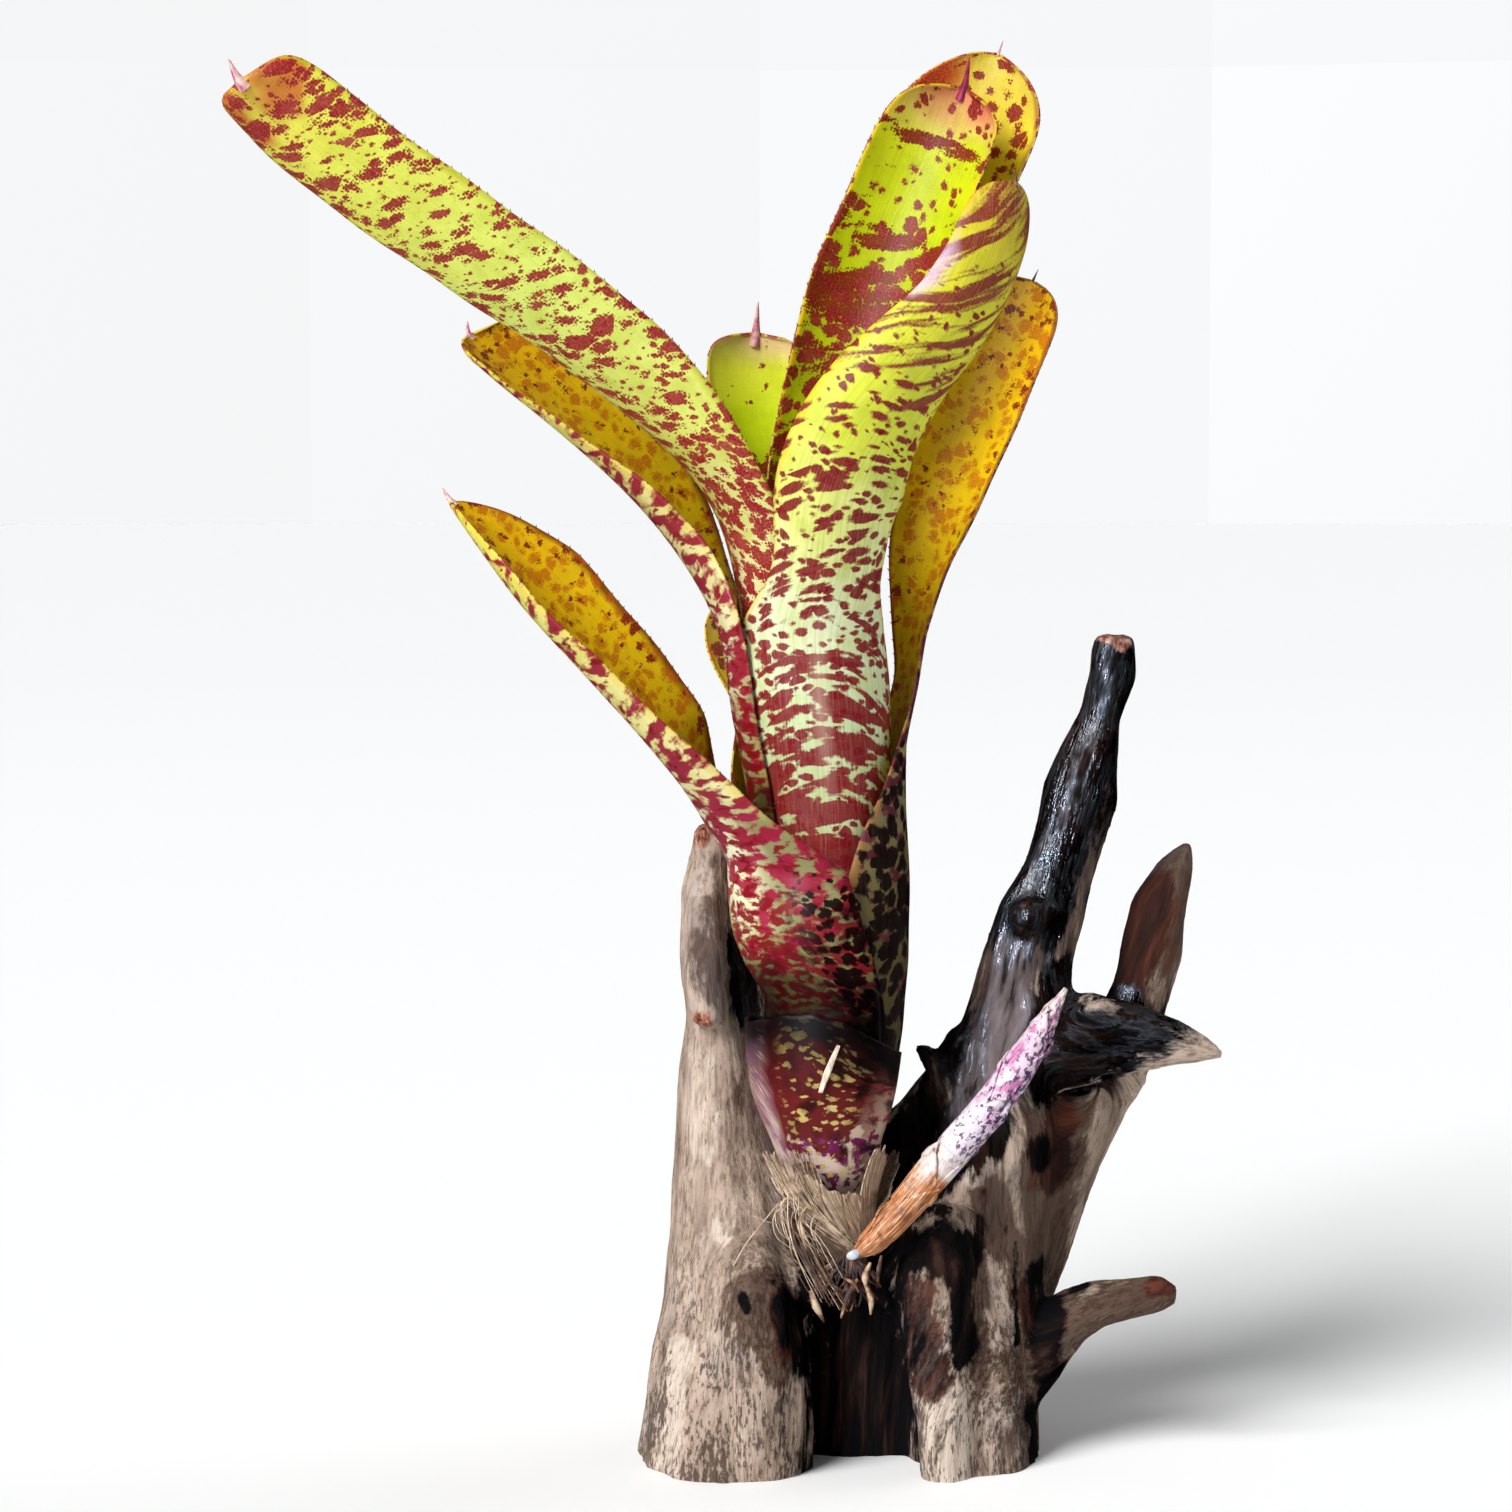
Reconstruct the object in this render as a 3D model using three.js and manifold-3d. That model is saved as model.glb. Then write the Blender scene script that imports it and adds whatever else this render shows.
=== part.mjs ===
// A neoregelia bromeliad rooted on a piece of driftwood. Millimetres, +Z up.
// The origin is on the underside of the driftwood, where it stands. +X is to the right of the
// side that the rosette shows, and +Y is behind it.
//
// Every leaf springs from a short stem. Its lower half, the sheath, wraps round the axis of the
// tube, and each sheath lies inside the one before it. Above its mouth the leaf bends away from
// the tube and becomes a channelled strap with toothed margins, a round tip and one end spine.
import * as THREE from "three";
import { mergeVertices } from "three/addons/utils/BufferGeometryUtils.js";
import Module from "manifold-3d";

const wasm = await Module();
wasm.setup();

// ---- Driving dimensions -------------------------------------------------------------------

const LEAF_THICKNESS = 0.7;
const LAYER_PITCH = 1.3; // from one sheath to the next, a leaf's thickness and a little air
const FOOT_HEIGHT = 43; // where the outermost sheath leaves the stem
const FOOT_STEP = 4; // each further sheath leaves the stem this much higher
const FOOT_RISE = 10; // height over which a sheath widens from the stem to its full radius
const AIR = 0.35; // clearance between pieces that touch
const DEGREE = Math.PI / 180;

// Every sheath is built in straight runs between these heights, so that all stay nested.
const LEVELS = [46, 57, 65, 74, 81, 87, 93, 101, 115, 131, 149, 175];
const AXIS_Y = -6;
const AXIS_X = [
  [34, 3], [40, 1.4], [46, -0.2], [57, -0.2], [65, 0.2], [74, 0.6], [81, 0.9], [87, -0.5], [93, -1.5],
  [101, -1.8], [115, -2.4], [131, -3.8], [149, -5], [175, -5.2],
];
const STEM_RADIUS = [[34, 2.6], [40, 3.4], [46, 3.4], [57, 2.8], [65, 2.2], [74, 1.6], [81, 1.2]];
// Radius of layer 1 by height, with the pot belly of the lower left leaf. Layer n runs inside
// it by n - 1 pitches.
const SHEATH_RADIUS = [
  [40, 4.1], [46, 4.6], [57, 8.4], [65, 11.4], [74, 12.8], [81, 13.1], [87, 15], [93, 16.1], [101, 16.5],
  [115, 16.4], [131, 17.9], [149, 18.2], [175, 17.6],
];
// The old sheath stands further out and a little to the left.
const OLD_SHEATH_RADIUS = [[40, 4.6], [46, 6.2], [57, 10.4], [65, 13.4], [74, 14.7], [81, 15.2]];
const OLD_SHEATH_SHIFT = [[40, 0], [46, -0.2], [57, -0.6], [65, -1.1], [74, -1.2], [81, -1.3]];

// ---- Curves -------------------------------------------------------------------------------

// Smooth value at a place in a track of [place, value] pairs.
function along(track, at) {
  const last = track.length - 1;
  if (at <= track[0][0]) return track[0][1];
  if (at >= track[last][0]) return track[last][1];
  const i = track.findIndex((pair) => pair[0] > at) - 1;
  const slope = (k) => {
    const a = track[Math.max(k - 1, 0)];
    const b = track[Math.min(k + 1, last)];
    return (b[1] - a[1]) / (b[0] - a[0]);
  };
  const [x0, y0] = track[i];
  const [x1, y1] = track[i + 1];
  const h = x1 - x0;
  const t = (at - x0) / h;
  const rest = 1 - t;
  return (
    y0 * (1 + 2 * t) * rest * rest +
    slope(i) * h * t * rest * rest +
    y1 * t * t * (3 - 2 * t) -
    slope(i + 1) * h * t * t * rest
  );
}

// The same in straight runs.
function straight(track, at) {
  if (at <= track[0][0]) return track[0][1];
  if (at >= track.at(-1)[0]) return track.at(-1)[1];
  const i = track.findIndex((pair) => pair[0] > at);
  const [x0, y0] = track[i - 1];
  const [x1, y1] = track[i];
  return y0 + ((y1 - y0) * (at - x0)) / (x1 - x0);
}

const smooth = (t) => {
  const c = Math.min(Math.max(t, 0), 1);
  return c * c * (3 - 2 * c);
};

const mix = (a, b, t) => a + (b - a) * t;

const axisAt = (z) => new THREE.Vector3(straight(AXIS_X, z), AXIS_Y, z);

// Radius of a layer's middle surface at a height.
function layerRadius(layer, foot, z) {
  const outer = straight(layer ? SHEATH_RADIUS : OLD_SHEATH_RADIUS, z);
  const full = layer ? outer - (layer - 1) * LAYER_PITCH : outer;
  const start = straight(STEM_RADIUS, foot) + AIR + LEAF_THICKNESS / 2;
  return mix(start, full, Math.min((z - foot) / FOOT_RISE, 1));
}

// ---- Solids -------------------------------------------------------------------------------

function geometryOf(points, triangles) {
  const geometry = new THREE.BufferGeometry().setFromPoints(points);
  geometry.setIndex(triangles);
  return geometry;
}

function toManifold(geometry) {
  const bare = geometry.index ? geometry.toNonIndexed() : geometry.clone();
  bare.deleteAttribute("normal");
  bare.deleteAttribute("uv");
  const merged = mergeVertices(bare, 1e-3);
  const vertProperties = merged.attributes.position.array;
  const triVerts = new Uint32Array(merged.index.array);
  return new wasm.Manifold(new wasm.Mesh({ numProp: 3, vertProperties, triVerts }));
}

function fromManifold(solid) {
  const { vertProperties, triVerts } = solid.getMesh();
  const geometry = new THREE.BufferGeometry();
  geometry.setAttribute("position", new THREE.BufferAttribute(vertProperties, 3));
  geometry.setIndex(new THREE.BufferAttribute(triVerts, 1));
  return geometry;
}

const joined = (solids) => solids.reduce((all, next) => all.add(next));

// A closed body through rings of points, each ring turning anticlockwise seen from the last.
function ringBody(rings) {
  const count = rings[0].length;
  const points = rings.flat();
  const triangles = [];
  for (let r = 0; r + 1 < rings.length; r++)
    for (let k = 0; k < count; k++) {
      const a = r * count + k;
      const b = r * count + ((k + 1) % count);
      triangles.push(a, b, b + count, a, b + count, a + count);
    }
  for (const [ring, flip] of [[0, true], [rings.length - 1, false]]) {
    const middle = new THREE.Vector3();
    rings[ring].forEach((p) => middle.addScaledVector(p, 1 / count));
    points.push(middle);
    for (let k = 0; k < count; k++) {
      const a = ring * count + k;
      const b = ring * count + ((k + 1) % count);
      triangles.push(...(flip ? [b, a, points.length - 1] : [a, b, points.length - 1]));
    }
  }
  return geometryOf(points, triangles);
}

// A limb through stations of [x, y, z, radius across, radius in depth]. Its section is swollen
// and pinched a little as it goes, as weathered wood is.
function limb(stations, { sides = 12, lump = 0.07, turn = 0 } = {}) {
  const rings = stations.map(([x, y, z, across, deep], i) => {
    const before = stations[Math.max(i - 1, 0)];
    const after = stations[Math.min(i + 1, stations.length - 1)];
    const way = new THREE.Vector3(after[0] - before[0], after[1] - before[1], after[2] - before[2]);
    way.normalize();
    const depth = new THREE.Vector3(0, 1, 0).addScaledVector(way, -way.y).normalize();
    const side = new THREE.Vector3().crossVectors(depth, way);
    return Array.from({ length: sides }, (_, k) => {
      const a = (k / sides) * 2 * Math.PI;
      const waves = Math.sin(2 * a + turn + i * 0.9) + 0.6 * Math.sin(3 * a - i + turn);
      const swell = 1 + lump * waves;
      return new THREE.Vector3(x, y, z)
        .addScaledVector(side, Math.cos(a) * across * swell)
        .addScaledVector(depth, Math.sin(a) * deep * swell);
    });
  });
  return toManifold(ringBody(rings));
}

// ---- Leaves -------------------------------------------------------------------------------

const STRIPS = 10; // strips across a leaf
// Places of the sections along a blade, from its mouth, and of those in its rounded tip, as
// shares of the tip's length before the root of its end spine.
const BLADE_PLACES = [0.08, 0.17, 0.28, 0.41, 0.54, 0.67, 0.78, 0.87];
const TIP_PLACES = [1, 0.6, 0.3, 0.1];
const SPINE_ROOT = 0.55; // half width where the end spine leaves the tip
const SPINE_POINT = 0.14;
const TOOTH_HEIGHT = 0.8;
const TOOTH_LEAN = 0.5; // towards the leaf's tip
const TOOTH_SPAN = [0.38, 0.55]; // of the way between two sections

// Layer 0 is outermost. azimuth is where the midrib stands on the tube: 0 right, 90 back,
// 180 left, 270 front. wrap is the sheath's half angle by share of its height. rib is the
// midrib from just above the mouth to the root of the spine, and spine is its point. width is
// the blade's half width and channel its half angle, both by share of the blade's length.
// face is the way that the inner side of the blade looks at its root and at its tip. tip is
// the length over which the end rounds off, the exponent of its outline, where 2 is an ellipse,
// and the length on the side of negative v where that differs.
const LEAVES = [
  {
    name: "leaf_lower_left", layer: 1, azimuth: 199, mouth: 104, tip: [20, 1.5],
    wrap: [[0, 125], [0.3, 112], [0.7, 98], [0.9, 88], [1, 82]],
    rib: [
      [-22.4, -11.5, 112], [-31, -14, 124.6], [-40.4, -15, 136], [-50.2, -14.5, 147.4],
      [-59.2, -13, 158.6], [-64.8, -11.4, 165.2],
    ],
    spine: [-66.4, -11, 167.6], width: [[0.12, 17], [0.35, 15.2], [0.6, 14.6], [1, 12.4]],
    channel: [[0, 70], [0.3, 64], [1, 56]], face: [[0.8, -0.1, 0.55], [0.6, -0.38, 0.7]],
  },
  {
    name: "leaf_left_back", layer: 2, azimuth: 132, mouth: 117, tip: [9, 2], strips: 8,
    wrap: [[0, 105], [0.3, 88], [0.7, 66], [1, 46]],
    rib: [[-12.4, 10.4, 128], [-16.6, 12.4, 137.4], [-21.2, 13.4, 146]],
    spine: [-23.8, 13.6, 150.2], width: [[0.3, 8.2], [0.65, 7.4], [1, 6.4]],
    channel: [[0, 56], [0.5, 48], [1, 42]], face: [[0.5, -0.8, 0.2], [0.35, -0.85, 0.4]],
  },
  {
    name: "leaf_right", layer: 3, azimuth: 14, mouth: 124, tip: [8, 2.4],
    wrap: [[0, 115], [0.3, 106], [0.6, 96], [0.78, 80], [0.9, 58], [1, 40]],
    rib: [
      [13.2, -1.4, 135], [14.2, 1, 144], [16.2, 4, 155], [20.4, 7.4, 169], [25.4, 9.4, 182.5],
      [30.4, 10, 194], [34, 9.8, 203],
    ],
    spine: [35, 9.6, 205.2], width: [[0.1, 6.6], [0.22, 5.6], [0.45, 8.4], [0.7, 9.2], [1, 8.2]],
    channel: [[0, 48], [0.3, 42], [1, 32]], face: [[-0.8, -0.5, 0], [-0.35, -0.92, 0.2]],
  },
  {
    name: "leaf_left", layer: 4, azimuth: 174, mouth: 138, tip: [12, 2.4, 5],
    wrap: [[0, 110], [0.3, 86], [0.5, 66], [0.7, 52], [1, 48]],
    rib: [
      [-21.2, -5, 146.8], [-28.2, -3, 158.6], [-37.6, -0.6, 170.6], [-47.4, 1, 180.4],
      [-57, 1.5, 188.4], [-62.6, 1.6, 193.4],
    ],
    spine: [-63, 1.7, 196], width: [[0.2, 12.2], [0.5, 12.8], [0.8, 11.6], [1, 9.6]],
    channel: [[0, 52], [0.3, 62], [0.6, 66], [1, 50]], face: [[0.8, 0.1, 0.55], [0.42, -0.6, 0.66]],
  },
  {
    name: "leaf_front", layer: 5, azimuth: 274, mouth: 143, tip: [18, 3, 5],
    wrap: [[0, 115], [0.3, 104], [0.75, 92], [1, 68]],
    rib: [
      [-1, -21.3, 154.5], [0.6, -25.2, 165], [5, -28, 175.5], [13.4, -29, 185.5],
      [22, -28.5, 195], [27.6, -27, 207], [28.4, -25.4, 217],
    ],
    spine: [28.4, -24.6, 219.4],
    width: [[0.12, 10.7], [0.3, 12.8], [0.5, 12.8], [0.75, 11.4], [1, 10.4]],
    channel: [[0, 68], [0.25, 55], [0.6, 60], [1, 62]], face: [[0, 1, 0], [-0.62, 0.62, 0.3]],
  },
  {
    name: "leaf_upper_left", layer: 6, azimuth: 208, mouth: 150, tip: [3, 3, 14],
    wrap: [[0, 115], [0.3, 100], [0.75, 84], [1, 60]],
    rib: [
      [-18, -14, 162.4], [-26.6, -19, 175.4], [-42, -25, 191], [-60.3, -31, 205],
      [-78.6, -36, 218], [-90.4, -39, 227.2], [-95.2, -41, 231.6],
    ],
    spine: [-97, -41.4, 235.2], width: [[0.12, 10.8], [0.3, 11.4], [0.6, 10.3], [0.85, 10.2], [1, 11]],
    channel: [[0, 62], [0.3, 50], [0.7, 42], [0.9, 50], [1, 74]],
    face: [[0.75, 0.6, 0.25], [0.3, 0.88, 0.36]],
  },
  {
    name: "leaf_small", layer: 7, azimuth: 132, mouth: 160, tip: [2.5, 3, 5], strips: 8,
    wrap: [[0, 100], [0.3, 84], [0.75, 66], [1, 46]],
    rib: [[-11.8, 4, 168], [-13.4, 5.8, 177], [-14.4, 5.9, 186], [-13.8, 4.8, 193.8]],
    spine: [-13.4, 3.4, 199.4], width: [[0.3, 6], [0.75, 8.8], [1, 8.4]],
    channel: [[0, 46], [0.5, 48], [1, 44]], face: [[0.5, -0.85, 0], [0.08, -0.9, 0.4]],
  },
  {
    name: "leaf_tall_back", layer: 8, azimuth: 44, mouth: 164, tip: [12, 2],
    wrap: [[0, 115], [0.3, 100], [0.8, 76], [1, 60]],
    rib: [
      [3.4, 2.6, 177], [7.6, 6.4, 190.5], [13, 8.8, 205], [19, 9, 219], [24.8, 7.6, 231.4],
      [27.6, 6, 241.2],
    ],
    spine: [28.4, 5, 243.6],
    width: [[0.22, 8.6], [0.5, 11.6], [0.75, 14], [0.9, 13.4], [1, 12]],
    channel: [[0, 60], [0.4, 46], [1, 44]], face: [[-0.6, -0.8, 0], [-0.2, -0.92, 0.32]],
  },
  {
    name: "leaf_tall_front", layer: 9, azimuth: 76, mouth: 168, tip: [4, 2.6, 14],
    wrap: [[0, 115], [0.3, 100], [0.8, 88], [1, 78]],
    rib: [
      [-0.4, 1.4, 178], [3, 2.4, 189], [8, 3.6, 202], [13.6, 3.6, 215.5], [18.6, 2, 227.4],
      [21.4, -0.4, 234.8],
    ],
    spine: [22.2, -3, 240], width: [[0.25, 11.2], [0.45, 12.7], [0.7, 12.4], [1, 12]],
    channel: [[0, 76], [0.4, 54], [1, 54]], face: [[-0.3, -0.95, 0], [-0.2, -0.9, 0.36]],
  },
];

// The leaf's middle surface: a function of the length along it and v, -1 to 1 across it.
function leafSurface(leaf) {
  const foot = FOOT_HEIGHT + FOOT_STEP * leaf.layer;
  const azimuth = leaf.azimuth * DEGREE;
  const onTube = (z) => {
    const r = layerRadius(leaf.layer, foot, z);
    return axisAt(z).add(new THREE.Vector3(Math.cos(azimuth) * r, Math.sin(azimuth) * r, 0));
  };
  const start = [leaf.mouth - 6, leaf.mouth].map(onTube);
  const free = [...leaf.rib, leaf.spine].map((p) => new THREE.Vector3(...p));
  const rib = new THREE.CatmullRomCurve3([...start, ...free], false, "centripetal");
  rib.arcLengthDivisions = 600;
  const total = rib.getLength();
  const lengths = rib.getLengths(600);
  const lengthAt = (knot) => lengths[Math.round((knot / (free.length + 1)) * 600)];
  const mouthLength = lengthAt(1);
  const bladeLength = lengthAt(free.length) - mouthLength;
  const mouthWidth = layerRadius(leaf.layer, foot, leaf.mouth) * leaf.wrap.at(-1)[1] * DEGREE;
  const width = [[0, mouthWidth], ...leaf.width];
  const [tipLength, roundness, otherLength = tipLength] = leaf.tip;

  function sheathPoint(share, v) {
    const z = mix(foot, leaf.mouth, share);
    const radius = layerRadius(leaf.layer, foot, z);
    const turn = azimuth - v * along(leaf.wrap, share) * DEGREE;
    return axisAt(z).add(new THREE.Vector3(Math.cos(turn) * radius, Math.sin(turn) * radius, 0));
  }

  function halfWidth(blade, v) {
    if (blade > 1) {
      const out = (blade - 1) / (total / bladeLength - mouthLength / bladeLength - 1);
      return mix(SPINE_ROOT, SPINE_POINT, out);
    }
    const past = Math.max(1 - ((1 - blade) * bladeLength) / (v < 0 ? otherLength : tipLength), 0);
    return Math.max(along(width, blade) * (1 - past ** roundness) ** (1 / roundness), SPINE_ROOT);
  }

  // blade is 0 at the mouth, 1 where the end spine starts.
  function bladePoint(blade, v) {
    const share = (mouthLength + blade * bladeLength) / total;
    const middle = rib.getPointAt(Math.min(share, 1));
    const way = rib.getTangentAt(Math.min(share, 1));
    const axis = axisAt(middle.z);
    const out = middle.clone().sub(axis);
    out.z = 0;
    const radius = out.length();
    const half = halfWidth(blade, v);
    const turn = Math.atan2(out.y, out.x) - (v * half) / radius;
    const wrapped = new THREE.Vector3(Math.cos(turn) * radius, Math.sin(turn) * radius, 0).add(axis);

    const inward = out.clone().negate().normalize();
    const [rootFace, tipFace] = leaf.face.map((p) => new THREE.Vector3(...p));
    const face = rootFace.lerp(tipFace, smooth(blade / 0.8)).normalize();
    const looks = inward.lerp(face, smooth(blade / 0.35));
    looks.addScaledVector(way, -looks.dot(way)).normalize();
    const side = new THREE.Vector3().crossVectors(way, looks);
    const bend = along(leaf.channel, blade) * DEGREE;
    const bow = half / bend;
    const open = middle
      .clone()
      .addScaledVector(looks, bow * (1 - Math.cos(v * bend)))
      .addScaledVector(side, bow * Math.sin(v * bend));
    return wrapped.lerp(open, smooth(blade / 0.3));
  }

  // place is -1 at the foot, 0 at the mouth, 1 where the end spine starts.
  const at = (place, v) => (place < 0 ? sheathPoint(place + 1, v) : bladePoint(place, v));
  const levels = [foot + FOOT_RISE, ...LEVELS.filter((z) => z > foot + 1 && z < leaf.mouth - 3)];
  const sheath = levels
    .sort((a, b) => a - b)
    .filter((z, i, all) => !i || z - all[i - 1] > 1)
    .map((z) => (z - foot) / (leaf.mouth - foot) - 1);
  const end = (total - mouthLength) / bladeLength;
  const round = TIP_PLACES.map((t) => 1 - (t * Math.max(tipLength, otherLength)) / bladeLength);
  const blade = BLADE_PLACES.filter((place) => place < round[0] - 0.03);
  const places = [-1, ...sheath, 0, ...blade, ...round, 1, mix(1, end, 0.5), end];
  return { at, places, strips: leaf.strips ?? STRIPS, toothFrom: 0, toothTo: round[0] };
}

// A closed sheet of even thickness round a surface, with a tooth on each margin between the
// sections from toothFrom to toothTo.
function sheetGeometry({ at, places, strips, toothFrom, toothTo }, thickness) {
  const points = [];
  const triangles = [];
  const grid = places.map((length) =>
    Array.from({ length: strips + 1 }, (_, j) => at(length, (2 * j) / strips - 1)),
  );
  const last = places.length - 1;
  const normalAt = (i, j) => {
    const alongLeaf = grid[Math.min(i + 1, last)][j].clone().sub(grid[Math.max(i - 1, 0)][j]);
    const acrossLeaf = grid[i][Math.min(j + 1, strips)].clone().sub(grid[i][Math.max(j - 1, 0)]);
    return acrossLeaf.cross(alongLeaf).normalize();
  };
  const sides = [1, -1].map((sign) =>
    grid.map((row, i) =>
      row.map((p, j) => {
        points.push(p.clone().addScaledVector(normalAt(i, j), (sign * thickness) / 2));
        return points.length - 1;
      }),
    ),
  );
  const [inner, outer] = sides;
  const face = (a, b, c, flip) => triangles.push(...(flip ? [a, c, b] : [a, b, c]));
  const quad = (a, b, c, d, flip) => {
    face(a, b, c, flip);
    face(a, c, d, flip);
  };
  const between = (a, b, t) => {
    points.push(points[a].clone().lerp(points[b], t));
    return points.length - 1;
  };
  const toothed = (i) => places[i] >= toothFrom && places[i + 1] <= toothTo;

  for (let i = 0; i < last; i++)
    for (let j = 0; j < strips; j++) {
      if (toothed(i) && (j === 0 || j === strips - 1)) continue;
      quad(inner[i][j], inner[i][j + 1], inner[i + 1][j + 1], inner[i + 1][j], false);
      quad(outer[i][j], outer[i][j + 1], outer[i + 1][j + 1], outer[i + 1][j], true);
    }
  for (let j = 0; j < strips; j++) {
    quad(inner[0][j + 1], inner[0][j], outer[0][j], outer[0][j + 1], false);
    quad(inner[last][j], inner[last][j + 1], outer[last][j + 1], outer[last][j], false);
  }
  for (const [edge, beside, flip] of [[0, 1, false], [strips, strips - 1, true]])
    for (let i = 0; i < last; i++) {
      const [in0, in1] = [inner[i][edge], inner[i + 1][edge]];
      const [out0, out1] = [outer[i][edge], outer[i + 1][edge]];
      if (!toothed(i)) {
        quad(in0, in1, out1, out0, flip);
        continue;
      }
      const [inA, inB] = TOOTH_SPAN.map((t) => between(in0, in1, t));
      const [outA, outB] = TOOTH_SPAN.map((t) => between(out0, out1, t));
      for (const [a, b, c, d, from, to, turned] of [
        [in0, inA, inB, in1, inner[i][beside], inner[i + 1][beside], !flip],
        [out0, outA, outB, out1, outer[i][beside], outer[i + 1][beside], flip],
      ]) {
        face(a, b, from, turned);
        face(b, to, from, turned);
        face(b, c, to, turned);
        face(c, d, to, turned);
      }
      quad(in0, inA, outA, out0, flip);
      quad(inB, in1, out1, outB, flip);
      const outwards = grid[i][edge].clone().sub(grid[i][beside]).normalize();
      const forwards = grid[i + 1][edge].clone().sub(grid[i][edge]).normalize();
      const apex = points[inB].clone().add(points[outB]).multiplyScalar(0.5);
      apex.addScaledVector(outwards, TOOTH_HEIGHT).addScaledVector(forwards, TOOTH_LEAN);
      points.push(apex);
      const point = points.length - 1;
      const base = [inA, inB, outB, outA];
      base.forEach((corner, k) => face(corner, base[(k + 1) % 4], point, flip));
    }
  return geometryOf(points, triangles);
}

// ---- Old sheath, dry scales and stem ------------------------------------------------------

const OLD_SHEATH_TOP = 79;
const OLD_SHEATH_WRAP = 92;
const DRY_SCALES = { foot: 38, top: 55, thickness: 0.9, points: 11, ragged: 5 };
// Their inner radius.
const DRY_SCALES_RADIUS = [
  [36, 3.2], [38, 4.4], [41, 6], [46, 8.2], [52, 9.9], [57, 11.7], [65, 14.6],
];

// The oldest leaf, of which only the sheath is left. Its rim dips towards the back.
function oldSheathSurface() {
  const azimuth = 228 * DEGREE;
  const half = OLD_SHEATH_WRAP * DEGREE;
  const at = (place, v) => {
    const dip = 5 * v * v + 1.2 * Math.sin(5 * v);
    const z = place - dip * smooth((place - 65) / 10);
    const r = layerRadius(0, FOOT_HEIGHT, z);
    const turn = azimuth - v * half;
    const shift = straight(OLD_SHEATH_SHIFT, z);
    return axisAt(z).add(new THREE.Vector3(Math.cos(turn) * r + shift, Math.sin(turn) * r, 0));
  };
  const places = [FOOT_HEIGHT, 46, 53, 57, 65, 74, OLD_SHEATH_TOP];
  return { at, places, strips: 12, toothFrom: 99, toothTo: 0 };
}

// Papery brown remains of older leaves round the foot, torn to points along the top.
function dryScales() {
  const { foot, top, thickness, points, ragged } = DRY_SCALES;
  const sides = points * 2;
  const ring = (share, out) =>
    Array.from({ length: sides }, (_, k) => {
      const a = (k / sides) * 2 * Math.PI;
      const torn = (k % 2 ? -1 : 0.25 + 0.75 * Math.sin(k * 2.1) ** 2) * ragged * 0.5;
      const z = mix(foot, top + torn, share);
      const r = straight(DRY_SCALES_RADIUS, z) + out * thickness + share * share * 0.5;
      return axisAt(z).add(new THREE.Vector3(Math.cos(a) * r, Math.sin(a) * r, 0));
    });
  const shares = [0, 0.3, 0.6, 1];
  const outside = shares.map((s) => ring(s, 1));
  const inside = shares.map((s) => ring(s, 0)).reverse();
  const rings = [...outside, ...inside];
  const triangles = [];
  rings.forEach((_, r) => {
    const next = (r + 1) % rings.length;
    for (let k = 0; k < sides; k++) {
      const l = (k + 1) % sides;
      const [a, b, c, d] = [r * sides + k, r * sides + l, next * sides + l, next * sides + k];
      triangles.push(a, b, c, a, c, d);
    }
  });
  return geometryOf(rings.flat(), triangles);
}

function stem() {
  const rings = STEM_RADIUS.map(([z, r]) =>
    Array.from({ length: 12 }, (_, k) => {
      const a = (k / 12) * 2 * Math.PI;
      return axisAt(z).add(new THREE.Vector3(Math.cos(a) * r, Math.sin(a) * r, 0));
    }),
  );
  return ringBody(rings);
}

// ---- Roots --------------------------------------------------------------------------------

const ROOT_HEART = [1.4, -14, 36.4];
const ROOTS_UP = 10;
const ROOTS_DOWN = 8;
const ROOT_RADIUS = 0.45;

// A seeded draw, the same every time.
function drawFrom(seed) {
  let state = seed;
  return () => {
    state = (state * 1664525 + 1013904223) % 4294967296;
    return state / 4294967296;
  };
}

// Wiry roots from one heart at the plant's foot. Half curl up round the dry scales, and half
// creep down over the front of the wood.
function roots() {
  const draw = drawFrom(7);
  const [hx, hy, hz] = ROOT_HEART;
  const heart = new THREE.IcosahedronGeometry(2.2, 1);
  heart.scale(1.3, 0.6, 0.7);
  heart.translate(hx, hy, hz);
  const shares = [0, 0.3, 0.65, 1];
  const strand = (places) => {
    const radius = (i) => ROOT_RADIUS * (1 - 0.12 * i);
    const stations = places.map((place, i) => [...place, radius(i), radius(i)]);
    return limb(stations, { sides: 4, lump: 0 });
  };
  const up = Array.from({ length: ROOTS_UP }, (_, i) => {
    const spread = mix(-1, 0.1, i / (ROOTS_UP - 1));
    const reach = mix(7, 14, draw());
    const curl = mix(0.6, 2.2, draw());
    return strand(
      shares.map((share) => {
        const z = hz + reach * share - 3 * share * share;
        const sway = Math.sin(share * 5 + i) * curl * share;
        const x = hx + spread * (1.5 + 10 * share) + sway;
        const fromAxis = straight(DRY_SCALES_RADIUS, z) + 2 + share * curl;
        const axis = axisAt(z);
        const round = Math.sqrt(Math.max(fromAxis ** 2 - (x - axis.x) ** 2, 4));
        return [x, mix(hy, axis.y - round, smooth(share * 2)), z];
      }),
    );
  });
  const down = Array.from({ length: ROOTS_DOWN }, (_, i) => {
    const spread = mix(-1, 0.7, i / (ROOTS_DOWN - 1));
    const reach = mix(5, 11, draw());
    return strand(
      shares.map((share) => {
        const sway = Math.sin(share * 4 + i * 2) * 1.1 * share;
        const out = Math.sin(share * Math.PI) * (0.4 + draw() * 0.8);
        return [hx + spread * (1.5 + 7 * share) + sway, hy - 0.9 - out, hz - 1.2 - reach * share];
      }),
    );
  });
  return joined([toManifold(heart), ...up, ...down]);
}

// ---- Stolon -------------------------------------------------------------------------------

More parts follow.
